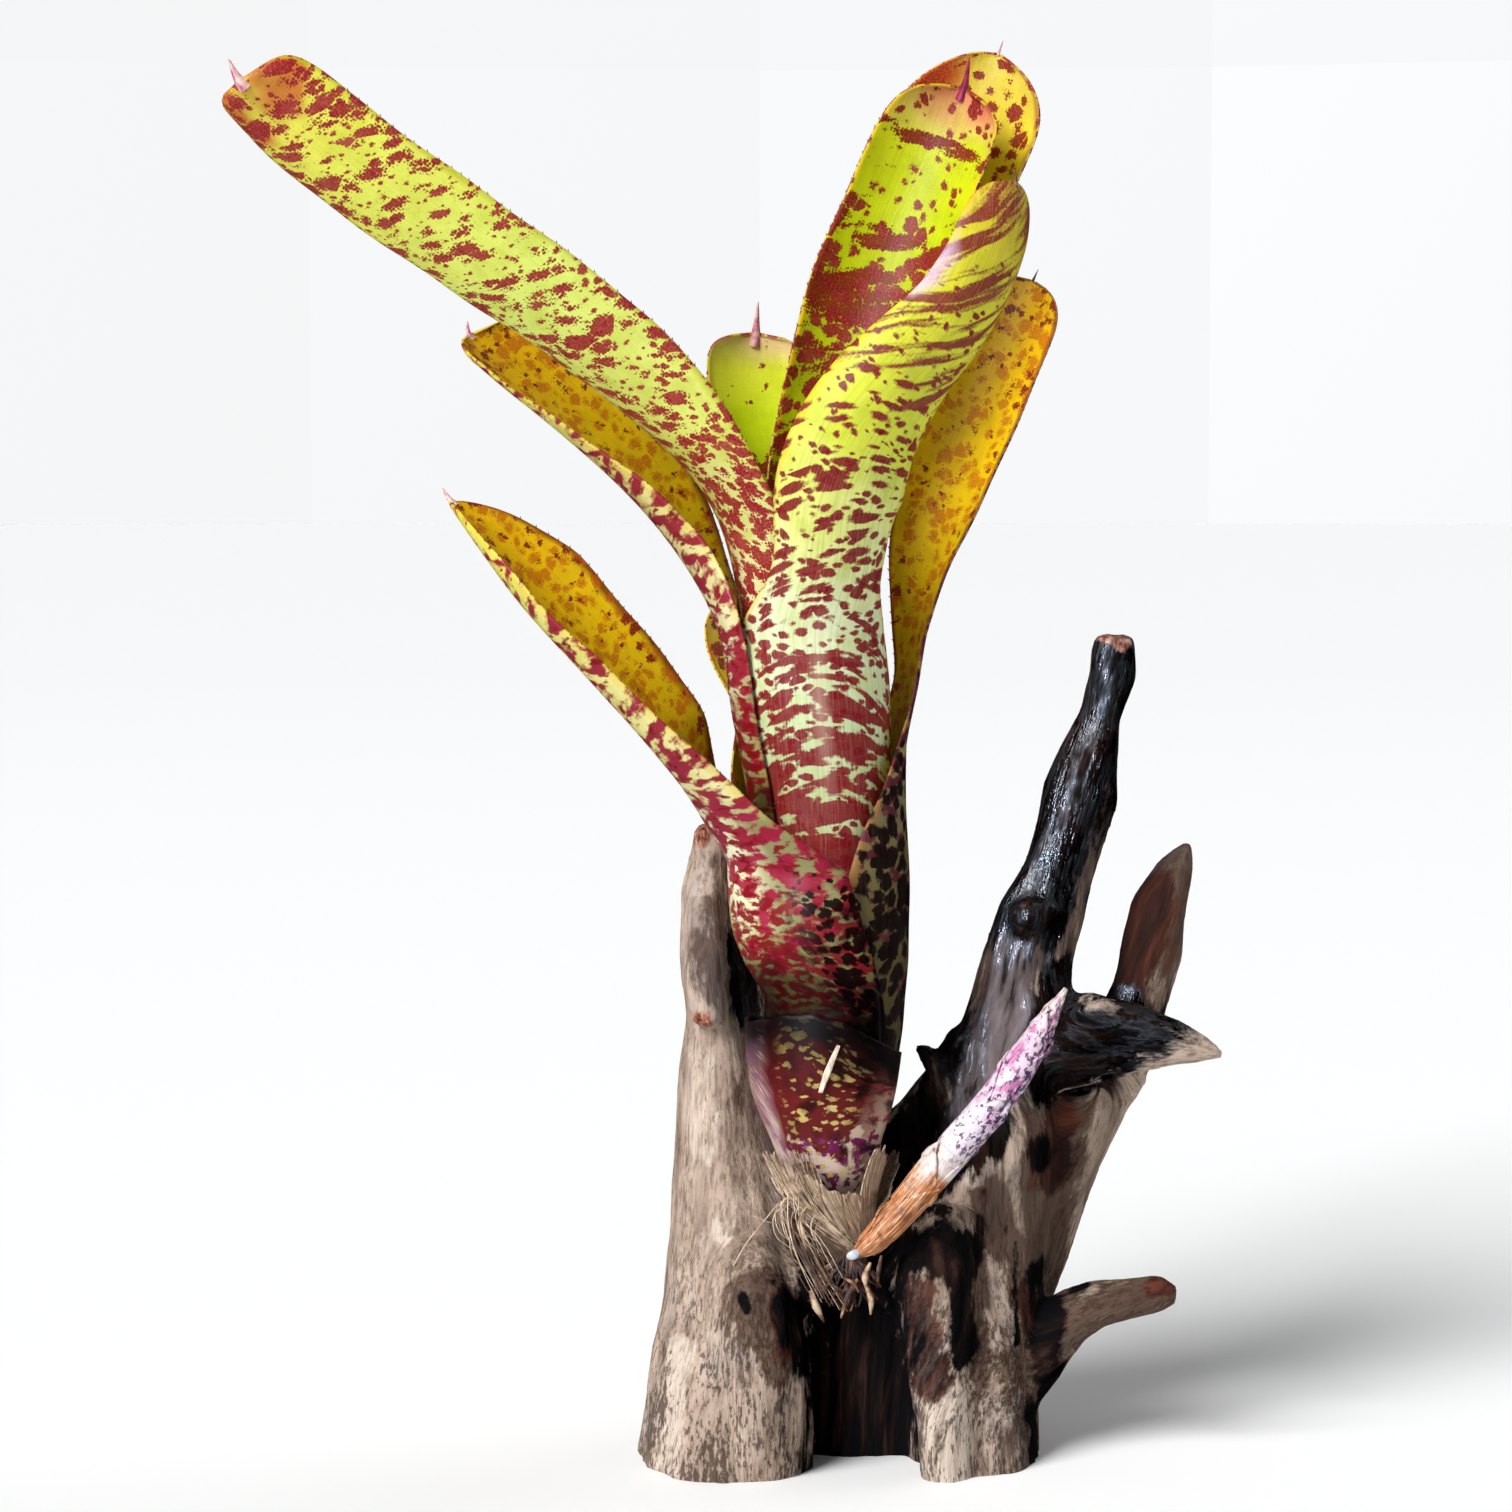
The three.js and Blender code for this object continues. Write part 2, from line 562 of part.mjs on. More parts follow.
const STOLON = [
  [6.4, -15.8, 40.6], [9, -16.8, 44], [13.6, -17.8, 49.8], [20.2, -18.4, 57.7], [26.8, -18.8, 65.6],
  [33.2, -18.6, 75.4], [38.2, -18, 84],
];
const STOLON_RADIUS = [[0, 2.5], [0.1, 3], [0.45, 3.1], [0.75, 2.8], [0.92, 1.5], [1, 0.5]];
const SCALES = 9;
const SCALE_LIP = 0.45;

// A young side shoot wrapped in overlapping scales, each one's rim standing out a little.
function stolon() {
  const curve = new THREE.CatmullRomCurve3(STOLON.map((p) => new THREE.Vector3(...p)));
  const shares = [];
  for (let i = 0; i < SCALES; i++) shares.push(i / SCALES + 0.002, (i + 0.9) / SCALES);
  shares.push(1);
  const rings = shares.map((share) => {
    const middle = curve.getPointAt(share);
    const way = curve.getTangentAt(share);
    const side = new THREE.Vector3(0, -1, 0).addScaledVector(way, way.y).normalize();
    const up = new THREE.Vector3().crossVectors(way, side);
    const place = share * SCALES;
    const lip = SCALE_LIP * (place - Math.floor(place)) * (1 - share);
    const r = along(STOLON_RADIUS, share) + lip;
    return Array.from({ length: 14 }, (_, k) => {
      const a = (k / 14) * 2 * Math.PI;
      const slant = 1.6 * Math.cos(a - Math.floor(place) * 2.4) * lip;
      return middle
        .clone()
        .addScaledVector(side, Math.cos(a) * r)
        .addScaledVector(up, Math.sin(a) * r)
        .addScaledVector(way, slant);
    });
  });
  return ringBody(rings);
}

// ---- Driftwood ----------------------------------------------------------------------------

// Each limb is a list of [x, y, z, radius across, radius in depth].
const LIMBS = {
  leftPost: [
    [-20.2, 0, -4, 15.6, 21], [-18.2, 1, 13, 13.1, 19], [-17, 3, 26, 11.6, 16.5],
    [-17.8, 4.5, 40, 10.2, 13.5], [-19.4, 6, 53, 8.8, 10.5], [-19.8, 6.5, 67, 7.9, 8.6],
    [-19.6, 6.5, 76, 6.4, 7.2], [-21, 6.5, 87, 5.7, 6.2], [-21.8, 6, 98, 4.6, 5],
    [-21.6, 5.5, 104.5, 3.2, 3.8], [-22.2, 5.2, 109.4, 2, 2.2],
  ],
  footBulge: [
    [-14.6, -8, -4, 9.6, 11], [-14.2, -9, 8, 9.8, 10.8], [-14, -9, 20, 9.6, 10], [-14.6, -7.5, 30, 8.4, 8.6],
    [-15.6, -4.5, 37, 5.6, 6],
  ],
  trunk: [
    [2, 11, -4, 27, 15], [2, 11.5, 16, 26, 14.5], [3, 12, 32, 24, 13], [4, 12.5, 46, 21, 11],
    [6, 13, 53, 15, 8], [8, 13.5, 57.5, 8, 4],
  ],
  rightTrunk: [
    [24.6, 3, -4, 12.8, 19], [24, 4, 15, 11.8, 17.5], [23.8, 5, 30, 12, 16], [25.4, 6, 45, 11.6, 13.5],
    [27.4, 6, 56, 10.6, 11.5], [29.6, 6, 66, 9.6, 9.6], [32.6, 6, 78, 9.4, 8.2], [34.2, 6, 87, 8.2, 7.6],
    [36, 6, 93.6, 7.6, 7.2], [38.5, 6.5, 100.6, 5.9, 5.8], [40.7, 7, 107.5, 5.7, 5.4],
    [42.7, 7, 114.5, 6.3, 5.8], [44.3, 7, 121.4, 4.9, 4.8], [46.2, 7, 128, 3.4, 3.3],
    [48.4, 7, 135.3, 4, 3.4], [48.4, 7, 141.4, 3.4, 2.8],
  ],
  spur: [
    [27, 5, 70, 7.5, 7.5], [37, 4.5, 71, 8.2, 7.6], [45.5, 3.5, 72, 7.6, 6.6], [52.4, 2.4, 72.4, 6, 5.2],
    [59.3, 1.2, 71.8, 4.2, 3.7], [63.8, 0.5, 70.6, 2.4, 2.1], [67, 0, 69.8, 0.5, 0.5],
  ],
  backBranch: [
    [27, 11, 22, 9, 9], [32.6, 12.5, 34, 9, 9], [37.2, 14.5, 43.6, 8.8, 8.6],
    [41.4, 16, 51, 8, 8], [46, 17, 58, 6.8, 7], [50.4, 17.5, 66, 5.8, 6],
    [54.8, 18, 79, 4.7, 4.8], [56.4, 18, 86, 5, 4.7], [57.6, 18, 93.1, 4.7, 4.4],
    [60.6, 18, 100.2, 3.2, 3.1], [62.8, 18, 104.6, 0.9, 0.9],
  ],
  backPost: [
    [-14, 10, 46, 8, 7], [-15, 9.6, 60, 7, 6], [-15.4, 9.4, 74, 6, 5.4],
    [-15, 9, 86, 4.6, 4.6], [-15.4, 8.6, 95, 2.6, 3],
  ],
  web: [[34, 10, 40, 6, 6], [39, 11, 53, 6.5, 6.5], [42, 11, 66, 5.5, 6]],
  shoulder: [
    [10, 12, 49, 8, 6], [17.2, 9, 56, 6.6, 6], [22.2, 7, 63.4, 6.2, 6], [26, 6, 70, 6.6, 6],
  ],
  peg: [
    [26, 2, 9, 8, 9], [34, 0.5, 17, 6.2, 6.4], [39.8, -0.5, 23.4, 5, 4.8], [45.2, -1.4, 26.4, 4.1, 3.7],
    [50.6, -2.2, 27.6, 3.3, 3], [55.8, -2.8, 28.3, 2.9, 2.7], [58.6, -3, 28.4, 1.5, 1.5],
  ],
  thorn: [[28, 6, 60, 7.5, 6], [21.4, 5.4, 64.4, 4.6, 4], [17, 4.6, 68.2, 2, 2], [14, 4, 71, 0.4, 0.4]],
  frontRoot: [
    [18.6, -3, 42, 8, 7.5], [16.8, -9, 33, 7.4, 7.5], [17, -12, 20, 5.6, 6.5], [18.4, -14.5, 8, 4.4, 5.5],
    [19, -16, -4, 3.6, 4.4],
  ],
  ledge: [[-12, -3, 30, 8, 8], [-3, -4, 31, 4.5, 8], [6, -4, 31, 4.5, 8], [15, -3, 30, 8, 8]],
  postStub: [
    [-21.6, 5, 104, 2.4, 2.6], [-22.6, 1.6, 95, 3.6, 3.6], [-23, -1.6, 85, 3.7, 3.4],
    [-22, -3.4, 75.6, 2.6, 2.5],
  ],
  knot: [[36, 3, 94, 4.4, 4.4], [32.4, -1.2, 94, 3, 3.2], [30.8, -3, 94, 1.9, 2]],
};

// The hollow under the plant's seat, between the two feet and open to the front.
const HOLLOW = [
  [5, -14.5, -8, 10, 12], [4.8, -14.5, 2, 9.6, 11.6], [4, -14.5, 12, 8.6, 10.6], [3, -15, 21, 7, 9],
  [2, -16, 28, 4.8, 7], [1.6, -17.5, 33, 1.6, 3],
];

// Room for the plant in the fork of the wood.
function seat() {
  const rings = [31, 36, 40, 44, 48, 53, 58, 63, 70, 77, 84, 91, 100, 120].map((z) => {
    const skin = Math.max(straight(OLD_SHEATH_RADIUS, z), straight(SHEATH_RADIUS, z)) + LEAF_THICKNESS / 2;
    const scales = straight(DRY_SCALES_RADIUS, Math.min(z, 60)) + DRY_SCALES.thickness + 0.5;
    const r = Math.max(skin, scales) + 2 * AIR;
    return Array.from({ length: 20 }, (_, k) => {
      const a = (k / 20) * 2 * Math.PI;
      return axisAt(z).add(new THREE.Vector3(Math.cos(a) * r, Math.sin(a) * r, 0));
    });
  });
  return toManifold(ringBody(rings));
}

function driftwood() {
  const limbs = Object.values(LIMBS).map((stations, i) => limb(stations, { turn: i * 1.7 }));
  const below = new THREE.BoxGeometry(300, 300, 40);
  below.translate(0, 0, -20);
  return joined(limbs)
    .subtract(limb(HOLLOW, { lump: 0.1 }))
    .subtract(seat())
    .subtract(toManifold(below));
}

// ---- The plant on its wood ----------------------------------------------------------------

const finish = (color, roughness) => new THREE.MeshStandardMaterial({ color, roughness, metalness: 0 });
const LEAF_COLOUR = 0xb5b62e;
const OLD_LEAF_COLOUR = 0x6e1518;
const YELLOW_LEAF_COLOUR = 0xc2a512;

const plant = new THREE.Group();

function place(name, geometry, material) {
  const mesh = new THREE.Mesh(geometry, material);
  mesh.name = name;
  plant.add(mesh);
}

const yellowLeaves = ["leaf_right", "leaf_left_back", "leaf_left", "leaf_lower_left"];
for (const leaf of LEAVES) {
  const colour = yellowLeaves.includes(leaf.name) ? YELLOW_LEAF_COLOUR : LEAF_COLOUR;
  place(leaf.name, sheetGeometry(leafSurface(leaf), LEAF_THICKNESS), finish(colour, 0.45));
}
place("old_sheath", sheetGeometry(oldSheathSurface(), LEAF_THICKNESS), finish(OLD_LEAF_COLOUR, 0.5));
place("dry_scales", dryScales(), finish(0x9c8462, 0.9));
place("stem", stem(), finish(0x8a6a45, 0.8));
place("stolon", stolon(), finish(0xc9a3a0, 0.6));
place("roots", fromManifold(roots()), finish(0x7b5f44, 0.85));
place("driftwood", fromManifold(driftwood()), finish(0x7a6653, 0.85));

export default plant;
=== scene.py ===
import math
import random

import bmesh
import bpy
import numpy as np
from mathutils import Matrix, Vector, noise


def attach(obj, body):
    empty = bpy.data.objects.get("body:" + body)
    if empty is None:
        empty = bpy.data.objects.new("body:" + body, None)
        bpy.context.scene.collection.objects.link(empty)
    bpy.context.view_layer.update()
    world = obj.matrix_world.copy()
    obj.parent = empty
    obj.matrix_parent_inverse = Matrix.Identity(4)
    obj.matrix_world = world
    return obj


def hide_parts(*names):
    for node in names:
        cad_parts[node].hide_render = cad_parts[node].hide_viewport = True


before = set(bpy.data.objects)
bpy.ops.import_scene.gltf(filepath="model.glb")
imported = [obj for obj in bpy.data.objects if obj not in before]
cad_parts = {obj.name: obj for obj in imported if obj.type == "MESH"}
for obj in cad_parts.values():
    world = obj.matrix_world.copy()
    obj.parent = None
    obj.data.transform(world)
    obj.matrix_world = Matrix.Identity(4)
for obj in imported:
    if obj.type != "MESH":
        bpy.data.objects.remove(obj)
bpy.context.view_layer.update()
scene = bpy.context.scene
MM = 0.001

# ---- Camera, floor and light ---------------------------------------------------------------
# The camera stands a little above the middle of the plant and looks slightly down. The floor is a
# plain pale sheet inside a white tent, which lights nothing itself. A broad soft sun shines from
# the upper left, a dim sky fills the shade, and a window on the left shows in what is wet.

AIM = Vector((-0.01377, -0.006, 0.12206))
DISTANCE = 0.607
LOOKS_DOWN = math.radians(4.5)

away = Vector((0, -math.cos(LOOKS_DOWN), math.sin(LOOKS_DOWN)))
bpy.ops.object.camera_add(location=AIM + away * DISTANCE, rotation=(math.pi / 2 - LOOKS_DOWN, 0, 0))
scene.camera = bpy.context.object
scene.camera.data.lens = 85
scene.camera.data.sensor_width = 36

bpy.ops.mesh.primitive_plane_add(size=30)
floor = bpy.context.object
floor.name = "floor"
paper = bpy.data.materials.new("pale_paper")
paper.use_nodes = True
nodes, links = paper.node_tree.nodes, paper.node_tree.links
# The sheet's tone falls a little outwards, towards that of the tent.
reach_of_paper = nodes.new("ShaderNodeVectorMath")
reach_of_paper.operation = "LENGTH"
links.new(nodes.new("ShaderNodeTexCoord").outputs["Object"], reach_of_paper.inputs[0])
fade = nodes.new("ShaderNodeMapRange")
fade.inputs["From Min"].default_value, fade.inputs["From Max"].default_value = 0.3, 2.5
fade.inputs["To Min"].default_value, fade.inputs["To Max"].default_value = 0.95, 0.907
links.new(reach_of_paper.outputs["Value"], fade.inputs["Value"])
links.new(fade.outputs["Result"], nodes["Principled BSDF"].inputs["Base Color"])
nodes["Principled BSDF"].inputs["Roughness"].default_value = 0.9
floor.data.materials.append(paper)
floor.visible_glossy = False

bpy.ops.mesh.primitive_uv_sphere_add(segments=48, ring_count=24, radius=12)
tent = bpy.context.object
tent.name = "white_tent"
glow = bpy.data.materials.new("white_cloth")
glow.use_nodes = True
glow.node_tree.nodes["Principled BSDF"].inputs["Base Color"].default_value = (0, 0, 0, 1)
glow.node_tree.nodes["Principled BSDF"].inputs["Emission Color"].default_value = (0.9, 0.905, 0.91, 1)
glow.node_tree.nodes["Principled BSDF"].inputs["Emission Strength"].default_value = 1
tent.data.materials.append(glow)
tent.visible_diffuse = tent.visible_glossy = tent.visible_shadow = False

scene.world = bpy.data.worlds.new("dim_sky")
scene.world.use_nodes = True
scene.world.node_tree.nodes["Background"].inputs["Color"].default_value = (0.94, 0.97, 1, 1)
scene.world.node_tree.nodes["Background"].inputs["Strength"].default_value = 0.2
scene.world.cycles_visibility.glossy = False


def sun(name, towards, strength, spread):
    """A soft sun; towards is the way from the plant to it."""
    bpy.ops.object.light_add(type="SUN", rotation=Vector(towards).to_track_quat("Z", "Y").to_euler())
    light = bpy.context.object
    light.name = name
    light.data.energy = strength
    light.data.angle = math.radians(spread)
    return light


sun("sun_upper_left", (-0.6, -0.62, 0.7), 3.9, 30)
sun("sun_back_right", (0.7, 0.35, 0.5), 0.6, 40)
window = sun("sheen_of_a_window", (-0.57, -0.8, 0.12), 3.2, 9)
window.data.color = (0.78, 0.87, 1)
window.visible_diffuse = False
scene.view_settings.view_transform = "Standard"
scene.view_settings.look = "None"


# ---- Driftwood -----------------------------------------------------------------------------
# One weathered piece of wood with several branch stubs, hollowed in front and sawn flat below.
# Water has stained its stubs and the wood round the plant's foot black and rust-brown. The same black and
# brown also paint shade, in its hollow, in the fork behind the plant and in other shaded places, and one
# pale patch is a painted highlight.

WOOD_GRAIN = 0.9  # side of the squares that the wood's surface is made of
WOOD_LINES = [  # the run of the grain, as the middle line of each limb
    ((-18, 4, 0), (-21, 6, 108)), ((2, 11, 0), (5, 13, 60)), ((24, 4, 0), (30, 6, 70)),
    ((32, 6, 72), (49, 7, 141)), ((34, 5, 71), (67, 0, 70)), ((31, 12, 28), (49, 17, 64)),
    ((50, 17, 66), (62, 18, 105)), ((32, 1, 14), (58, -3, 28)),
]
# Each patch, a stain or painted shade or highlight, is a capsule: the two ends of its middle line and its
# reach.
WOOD_STAINS_AND_PAINTED_LIGHT = {
    # Brown: weathered brown wood, and in part painted shade: over the right of the piece, away from the sun,
    # and on the left stub, where the leaves shade it.
    "brown": [
        ((34, 0, 0), (38, 4, 64), 9), ((24, -6, 66), (32, 0, 92), 8), ((36, 6, 92), (51, 7, 124), 14),
        ((49, 15, 70), (61, 17, 106), 9), ((36, -2, 20), (60, -4, 32), 6), ((7, 6, 0), (10, 6, 7), 7),
        ((-16, -10, 62), (-14, -8, 100), 4), ((26, -8, 46), (28, -8, 38), 5),
        ((-14, -16, 30), (-10, -16, 22), 7), ((24, -8, 36), (24, -8, 0), 3), ((44, 4, 122), (50, 6, 140), 6),
        ((-22, -12, 96), (-19, -8, 104), 5), ((-22.5, -14, 97), (-22.5, -14, 82), 5.4),
    ],
    # Pale wood. The patch from (-17.5, -16, 46) to (-19, -16, 41), low on the left post, is a painted
    # highlight.
    "pale": [
        ((8, -15, 34), (10, -16, 26), 2.6), ((17.6, -18, 13), (18, -20, 0), 5.4),
        ((-17.5, -16, 46), (-19, -16, 41), 3.6), ((-27, -14, 22), (-29, -16, 2), 3),
        ((38, 0, 62), (47, 2, 66), 2), ((26, -8, 78), (29, -8, 70), 2.6), ((-24, -12, 70), (-25, -12, 56), 5),
        ((22, -8, 50), (26, -8, 56), 3.2),
    ],
    "ashen": [
        ((31, -3, 86), (23, -7, 60), 5), ((40, -2, 100), (42, -2, 106), 1.6),
    ],
    "rust": [
        ((-9, -15, 29), (-8, -15, 23), 3.6), ((13.6, -15, 31), (15, -17, 17), 4.6),
        ((54, 13, 94), (51, 13, 76), 7), ((55, -4, 30), (57, -4, 30), 2), ((33, -5, 28), (36, -5, 24), 4),
        ((-4, -14, 33), (-3, -14, 29), 2.2), ((39, 2, 60), (38, 2, 48), 4.4),
    ],
    "fresh": [
        ((-23, -16, 76.6), (-23, -4, 76.6), 2.4), ((-23.2, -14, 108), (-23.2, 0, 108), 2.8),
        ((46, 5, 143), (49.4, 5, 141), 1.8),
    ],
    # Black: wet, water-stained wood on the branch, the spur and round the plant's foot, and painted shade as
    # well: the hollow, in part the fork behind the plant and stolon, the wood behind the plant's left side,
    # the foot of the wood under the peg and at its right edge, and thin lines under the left stub's broken
    # end and beside it.
    "dark": [
        ((33, 4, 96), (49, 7, 140), 13), ((31, 0, 94), (31, 0, 91), 5), ((8, -2, 44), (20, -6, 74), 8.4),
        ((16, -6, 50), (26, -8, 58), 6), ((37, -2, 66), (39, -2, 82), 7), ((40, -2, 70), (53, -2, 75), 8.8),
        ((54, -2, 77), (61, -2, 77.6), 5), ((-9, -15, 29), (-8, -15, 24), 3),
        ((11, -12, 38), (23, -12, 38), 4.6), ((20, -14, 36), (21.4, -14, 21), 3),
        ((-6, -12, 27), (-5.6, -12, 19), 4), ((4, 0, 2), (4, 0, 30), 14), ((35, 0, 54), (36, 0, 52), 3),
        ((36, -4, 32), (37, -4, 12), 3.6), ((37, -2, 32), (42, -2, 30.5), 2.6),
        ((33, -4, 10), (34, -4, 0), 2.4), ((25.4, -9, 47), (24.6, -9, 41), 1.3),
        ((29.4, -9, 46), (29, -9, 40), 1.4), ((31, -8, 38), (31, -8, 21), 0.9),
        ((53.4, -3, 29.5), (54, -3, 29.5), 1), ((46, 12, 66), (52, 14, 76), 5),
        ((-15, -2, 78), (-14, 0, 98), 4.4), ((-15.8, -16, 31), (-15.4, -16, 29.4), 1.3),
        ((20, -16, 6), (20, -16, 3), 1.2), ((-17, -8, 106), (-19, -8, 98), 3),
        ((11.6, -12, 3), (12, -12, 9), 2.4), ((-25.4, -12, 74), (-20.8, -10, 73.6), 0.9),
        ((-19.6, -8, 78), (-18.6, -6, 92), 1.2),
    ],
}
# The healed rim of an old branch scar on the left foot, which arches over it from left to right.
SCAR = [
    (-23.6, -16, 30.3), (-22.6, -16, 33.6), (-20.3, -16, 35.6), (-17.9, -16, 34.9), (-15.6, -16, 32.3),
    (-14.3, -16, 29),
]


class Finish:
    """A procedural finish, put together one node at a time."""

    def __init__(self, name, roughness):
        self.material = bpy.data.materials.new(name)
        self.material.use_nodes = True
        self.tree = self.material.node_tree
        self.shader = self.tree.nodes["Principled BSDF"]
        self.shader.inputs["Roughness"].default_value = roughness

    def give(self, socket, value):
        if isinstance(value, bpy.types.NodeSocket):
            self.tree.links.new(value, socket)
        elif socket.type == "RGBA" and len(value) == 3:
            socket.default_value = (*value, 1)
        else:
            socket.default_value = value

    def node(self, kind, sockets=None, **settings):
        made = self.tree.nodes.new("ShaderNode" + kind)
        for name, value in settings.items():
            setattr(made, name, value)
        for name, value in (sockets or {}).items():
            self.give(made.inputs[name], value)
        return made

    def math(self, operation, *values):
        made = self.node("Math", operation=operation)
        for socket, value in zip(made.inputs, values):
            self.give(socket, value)
        return made.outputs[0]

    def stretch(self, vector, by):
        made = self.node("VectorMath", {0: vector, 1: by}, operation="MULTIPLY")
        return made.outputs[0]

    def noise(self, vector, scale=1.0, detail=3.0, roughness=0.55, distortion=0.0):
        sockets = {
            "Vector": vector, "Scale": scale, "Detail": detail, "Roughness": roughness,
            "Distortion": distortion,
        }
        return self.node("TexNoise", sockets).outputs["Fac"]

    def mix(self, share, first, second, blend="MIX"):
        made = self.node("Mix", {0: share, 6: first, 7: second}, data_type="RGBA", blend_type=blend)
        return made.outputs[2]

    def ramp(self, value, stops, blend="LINEAR"):
        """Colours, or plain numbers, by value."""
        made = self.node("ValToRGB", {"Fac": value})
        made.color_ramp.interpolation = blend
        elements = made.color_ramp.elements
        while len(elements) < len(stops):
            elements.new(0.5)
        for element, (place, colour) in zip(elements, stops):
            element.position = place
            element.color = (colour,) * 3 + (1,) if isinstance(colour, (int, float)) else (*colour, 1)
        return made.outputs["Color"]

    def step(self, value, start, end):
        made = self.node("MapRange", {"Value": value, "From Min": start, "From Max": end}, clamp=True)
        return made.outputs["Result"]

    def colour(self, value):
        self.give(self.shader.inputs["Base Color"], value)

    def relief(self, height, distance, strength=1.0):
        """Low relief: height goes from 0 to 1 over a distance in metres."""
        bump = self.node("Bump", {"Height": height, "Distance": distance, "Strength": strength})
        self.give(self.shader.inputs["Normal"], bump.outputs["Normal"])


def only(piece):
    """Selects one object and nothing else."""
    bpy.ops.object.select_all(action="DESELECT")
    piece.select_set(True)
    bpy.context.view_layer.objects.active = piece


def applied(piece, kind, **settings):
    """Adds a modifier to a piece and applies it."""
    only(piece)
    modifier = piece.modifiers.new(kind.lower(), kind)
    for name, value in settings.items():
        setattr(modifier, name, value)
    bpy.ops.object.modifier_apply(modifier=modifier.name)


def merged_copy(node, name):
    """A new piece from a copy of a solid, its loose triangles merged."""
    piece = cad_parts[node].copy()
    piece.data = piece.data.copy()
    piece.name = piece.data.name = name
    scene.collection.objects.link(piece)
    only(piece)
    bpy.ops.object.mode_set(mode="EDIT")
    bpy.ops.mesh.select_all(action="SELECT")
    bpy.ops.mesh.remove_doubles(threshold=1e-6)
    bpy.ops.object.mode_set(mode="OBJECT")
    return piece


def points_of(mesh):
    flat = np.empty(len(mesh.vertices) * 3)
    mesh.vertices.foreach_get("co", flat)
    return flat.reshape(-1, 3)


def reach(points, start, end, depth=1.0):
    """Distance of each point from a straight line between two places; depth is the share of y."""
    scaled = np.array([1, depth, 1])
    start, end = np.array(start) * MM * scaled, np.array(end) * MM * scaled
    way = end - start
    share = np.clip((points * scaled - start) @ way / (way @ way), 0, 1)
    return np.linalg.norm(points * scaled - start - share[:, None] * way, axis=1)


driftwood = merged_copy("driftwood", "driftwood_weathered")
places = points_of(driftwood.data)
# The underside is let down before the wood is made even, and the feet are cut off flat below.
places[:, 2] = np.where(places[:, 2] < 0.01 * MM, -5 * MM, places[:, 2])
driftwood.data.vertices.foreach_set("co", places.ravel())
applied(driftwood, "REMESH", mode="VOXEL", voxel_size=WOOD_GRAIN * MM)
applied(driftwood, "SMOOTH", factor=0.5, iterations=6)
mesh = driftwood.data
places = points_of(mesh)

# Each point's place in the run of the grain: its last number goes along the limb.
grain = np.zeros_like(places)
total = np.zeros(len(places))
for start, end in WOOD_LINES:
    nearness = (reach(places, start, end) / 0.01 + 0.1) ** -6
    upright = (Vector(end) - Vector(start)).rotation_difference(Vector((0, 0, 1))).to_matrix()
    joint = np.array(start) * MM
    grain += nearness[:, None] * ((places - joint) @ np.array(upright).T + joint)
    total += nearness
grain /= total[:, None]

normals = np.empty(len(mesh.vertices) * 3)
mesh.vertices.foreach_get("normal", normals)
normals = normals.reshape(-1, 3)
rise = np.empty(len(places))
for i, (x, y, z) in enumerate(grain):
    ridges = noise.noise(Vector((x * 260, y * 260, z * 26)))
    swells = noise.fractal(Vector((x * 70, y * 70, z * 16)), 1.0, 2.0, 3)
    rise[i] = 0.55 * swells + 0.32 * (1 - 2.2 * abs(ridges))
scar = np.min([reach(places, a, b, 0.1) for a, b in zip(SCAR, SCAR[1:])], axis=0) / MM
under_scar = np.clip(1 - reach(places, (-18.4, -16, 33), (-18.8, -16, 27), 0.1) / (3.6 * MM), 0, 1)
rise += np.where(places[:, 1] < 0, 0.9 * np.exp(-(scar**2)) - 0.7 * under_scar, 0)
places += normals * rise[:, None] * MM
mesh.vertices.foreach_set("co", places.ravel())
mesh.attributes.new("grain", "FLOAT_VECTOR", "POINT").data.foreach_set("vector", grain.ravel())
for stain, patches in WOOD_STAINS_AND_PAINTED_LIGHT.items():
    depth = np.max([1 - reach(places, start, end, 0.4) / (size * MM) for start, end, size in patches], axis=0)
    mesh.attributes.new(stain, "FLOAT", "POINT").data.foreach_set("value", np.maximum(depth, -1.5))
only(driftwood)
bpy.ops.object.mode_set(mode="EDIT")
bpy.ops.mesh.select_all(action="SELECT")
bpy.ops.mesh.bisect(plane_co=(0, 0, 0), plane_no=(0, 0, 1), use_fill=True, clear_inner=True)
bpy.ops.object.mode_set(mode="OBJECT")
bpy.ops.object.shade_smooth_by_angle(angle=math.radians(60))

wood = Finish("driftwood", 0.8)
wood.shader.inputs["Specular Tint"].default_value = (0.82, 0.88, 1, 1)
run = wood.node("Attribute", attribute_name="grain").outputs["Vector"]
lines = wood.noise(wood.stretch(run, (1, 1, 0.08)), 1300, 3, 0.6)
streaks = wood.noise(wood.stretch(run, (1, 1, 0.12)), 300, 4, 0.6, 0.4)
clouds = wood.noise(wood.stretch(run, (1, 1, 0.5)), 75, 4, 0.6)
flecks = wood.noise(wood.stretch(run, (1, 1, 0.3)), 1500, 3, 0.7)
patches_of_flecks = wood.noise(wood.stretch(run, (1, 1, 0.4)), 130, 2)
tan = wood.ramp(
    clouds, [(0.3, (0.22, 0.16, 0.125)), (0.43, (0.4, 0.3, 0.235)), (0.56, (0.52, 0.4, 0.32)),
             (0.7, (0.4, 0.35, 0.33))]
)
tan = wood.mix(wood.math("MULTIPLY", wood.step(streaks, 0.46, 0.76), 0.8), tan, (0.15, 0.1, 0.07))
tan = wood.mix(wood.math("MULTIPLY", wood.step(lines, 0.5, 0.66), 0.6), tan, (0.12, 0.075, 0.05))
low_down = wood.step(wood.node("SeparateXYZ", {0: run}).outputs["Z"], 0.045, 0.02)
dotted = wood.math("MULTIPLY_ADD", wood.math("SUBTRACT", patches_of_flecks, 0.5), 0.5, flecks)
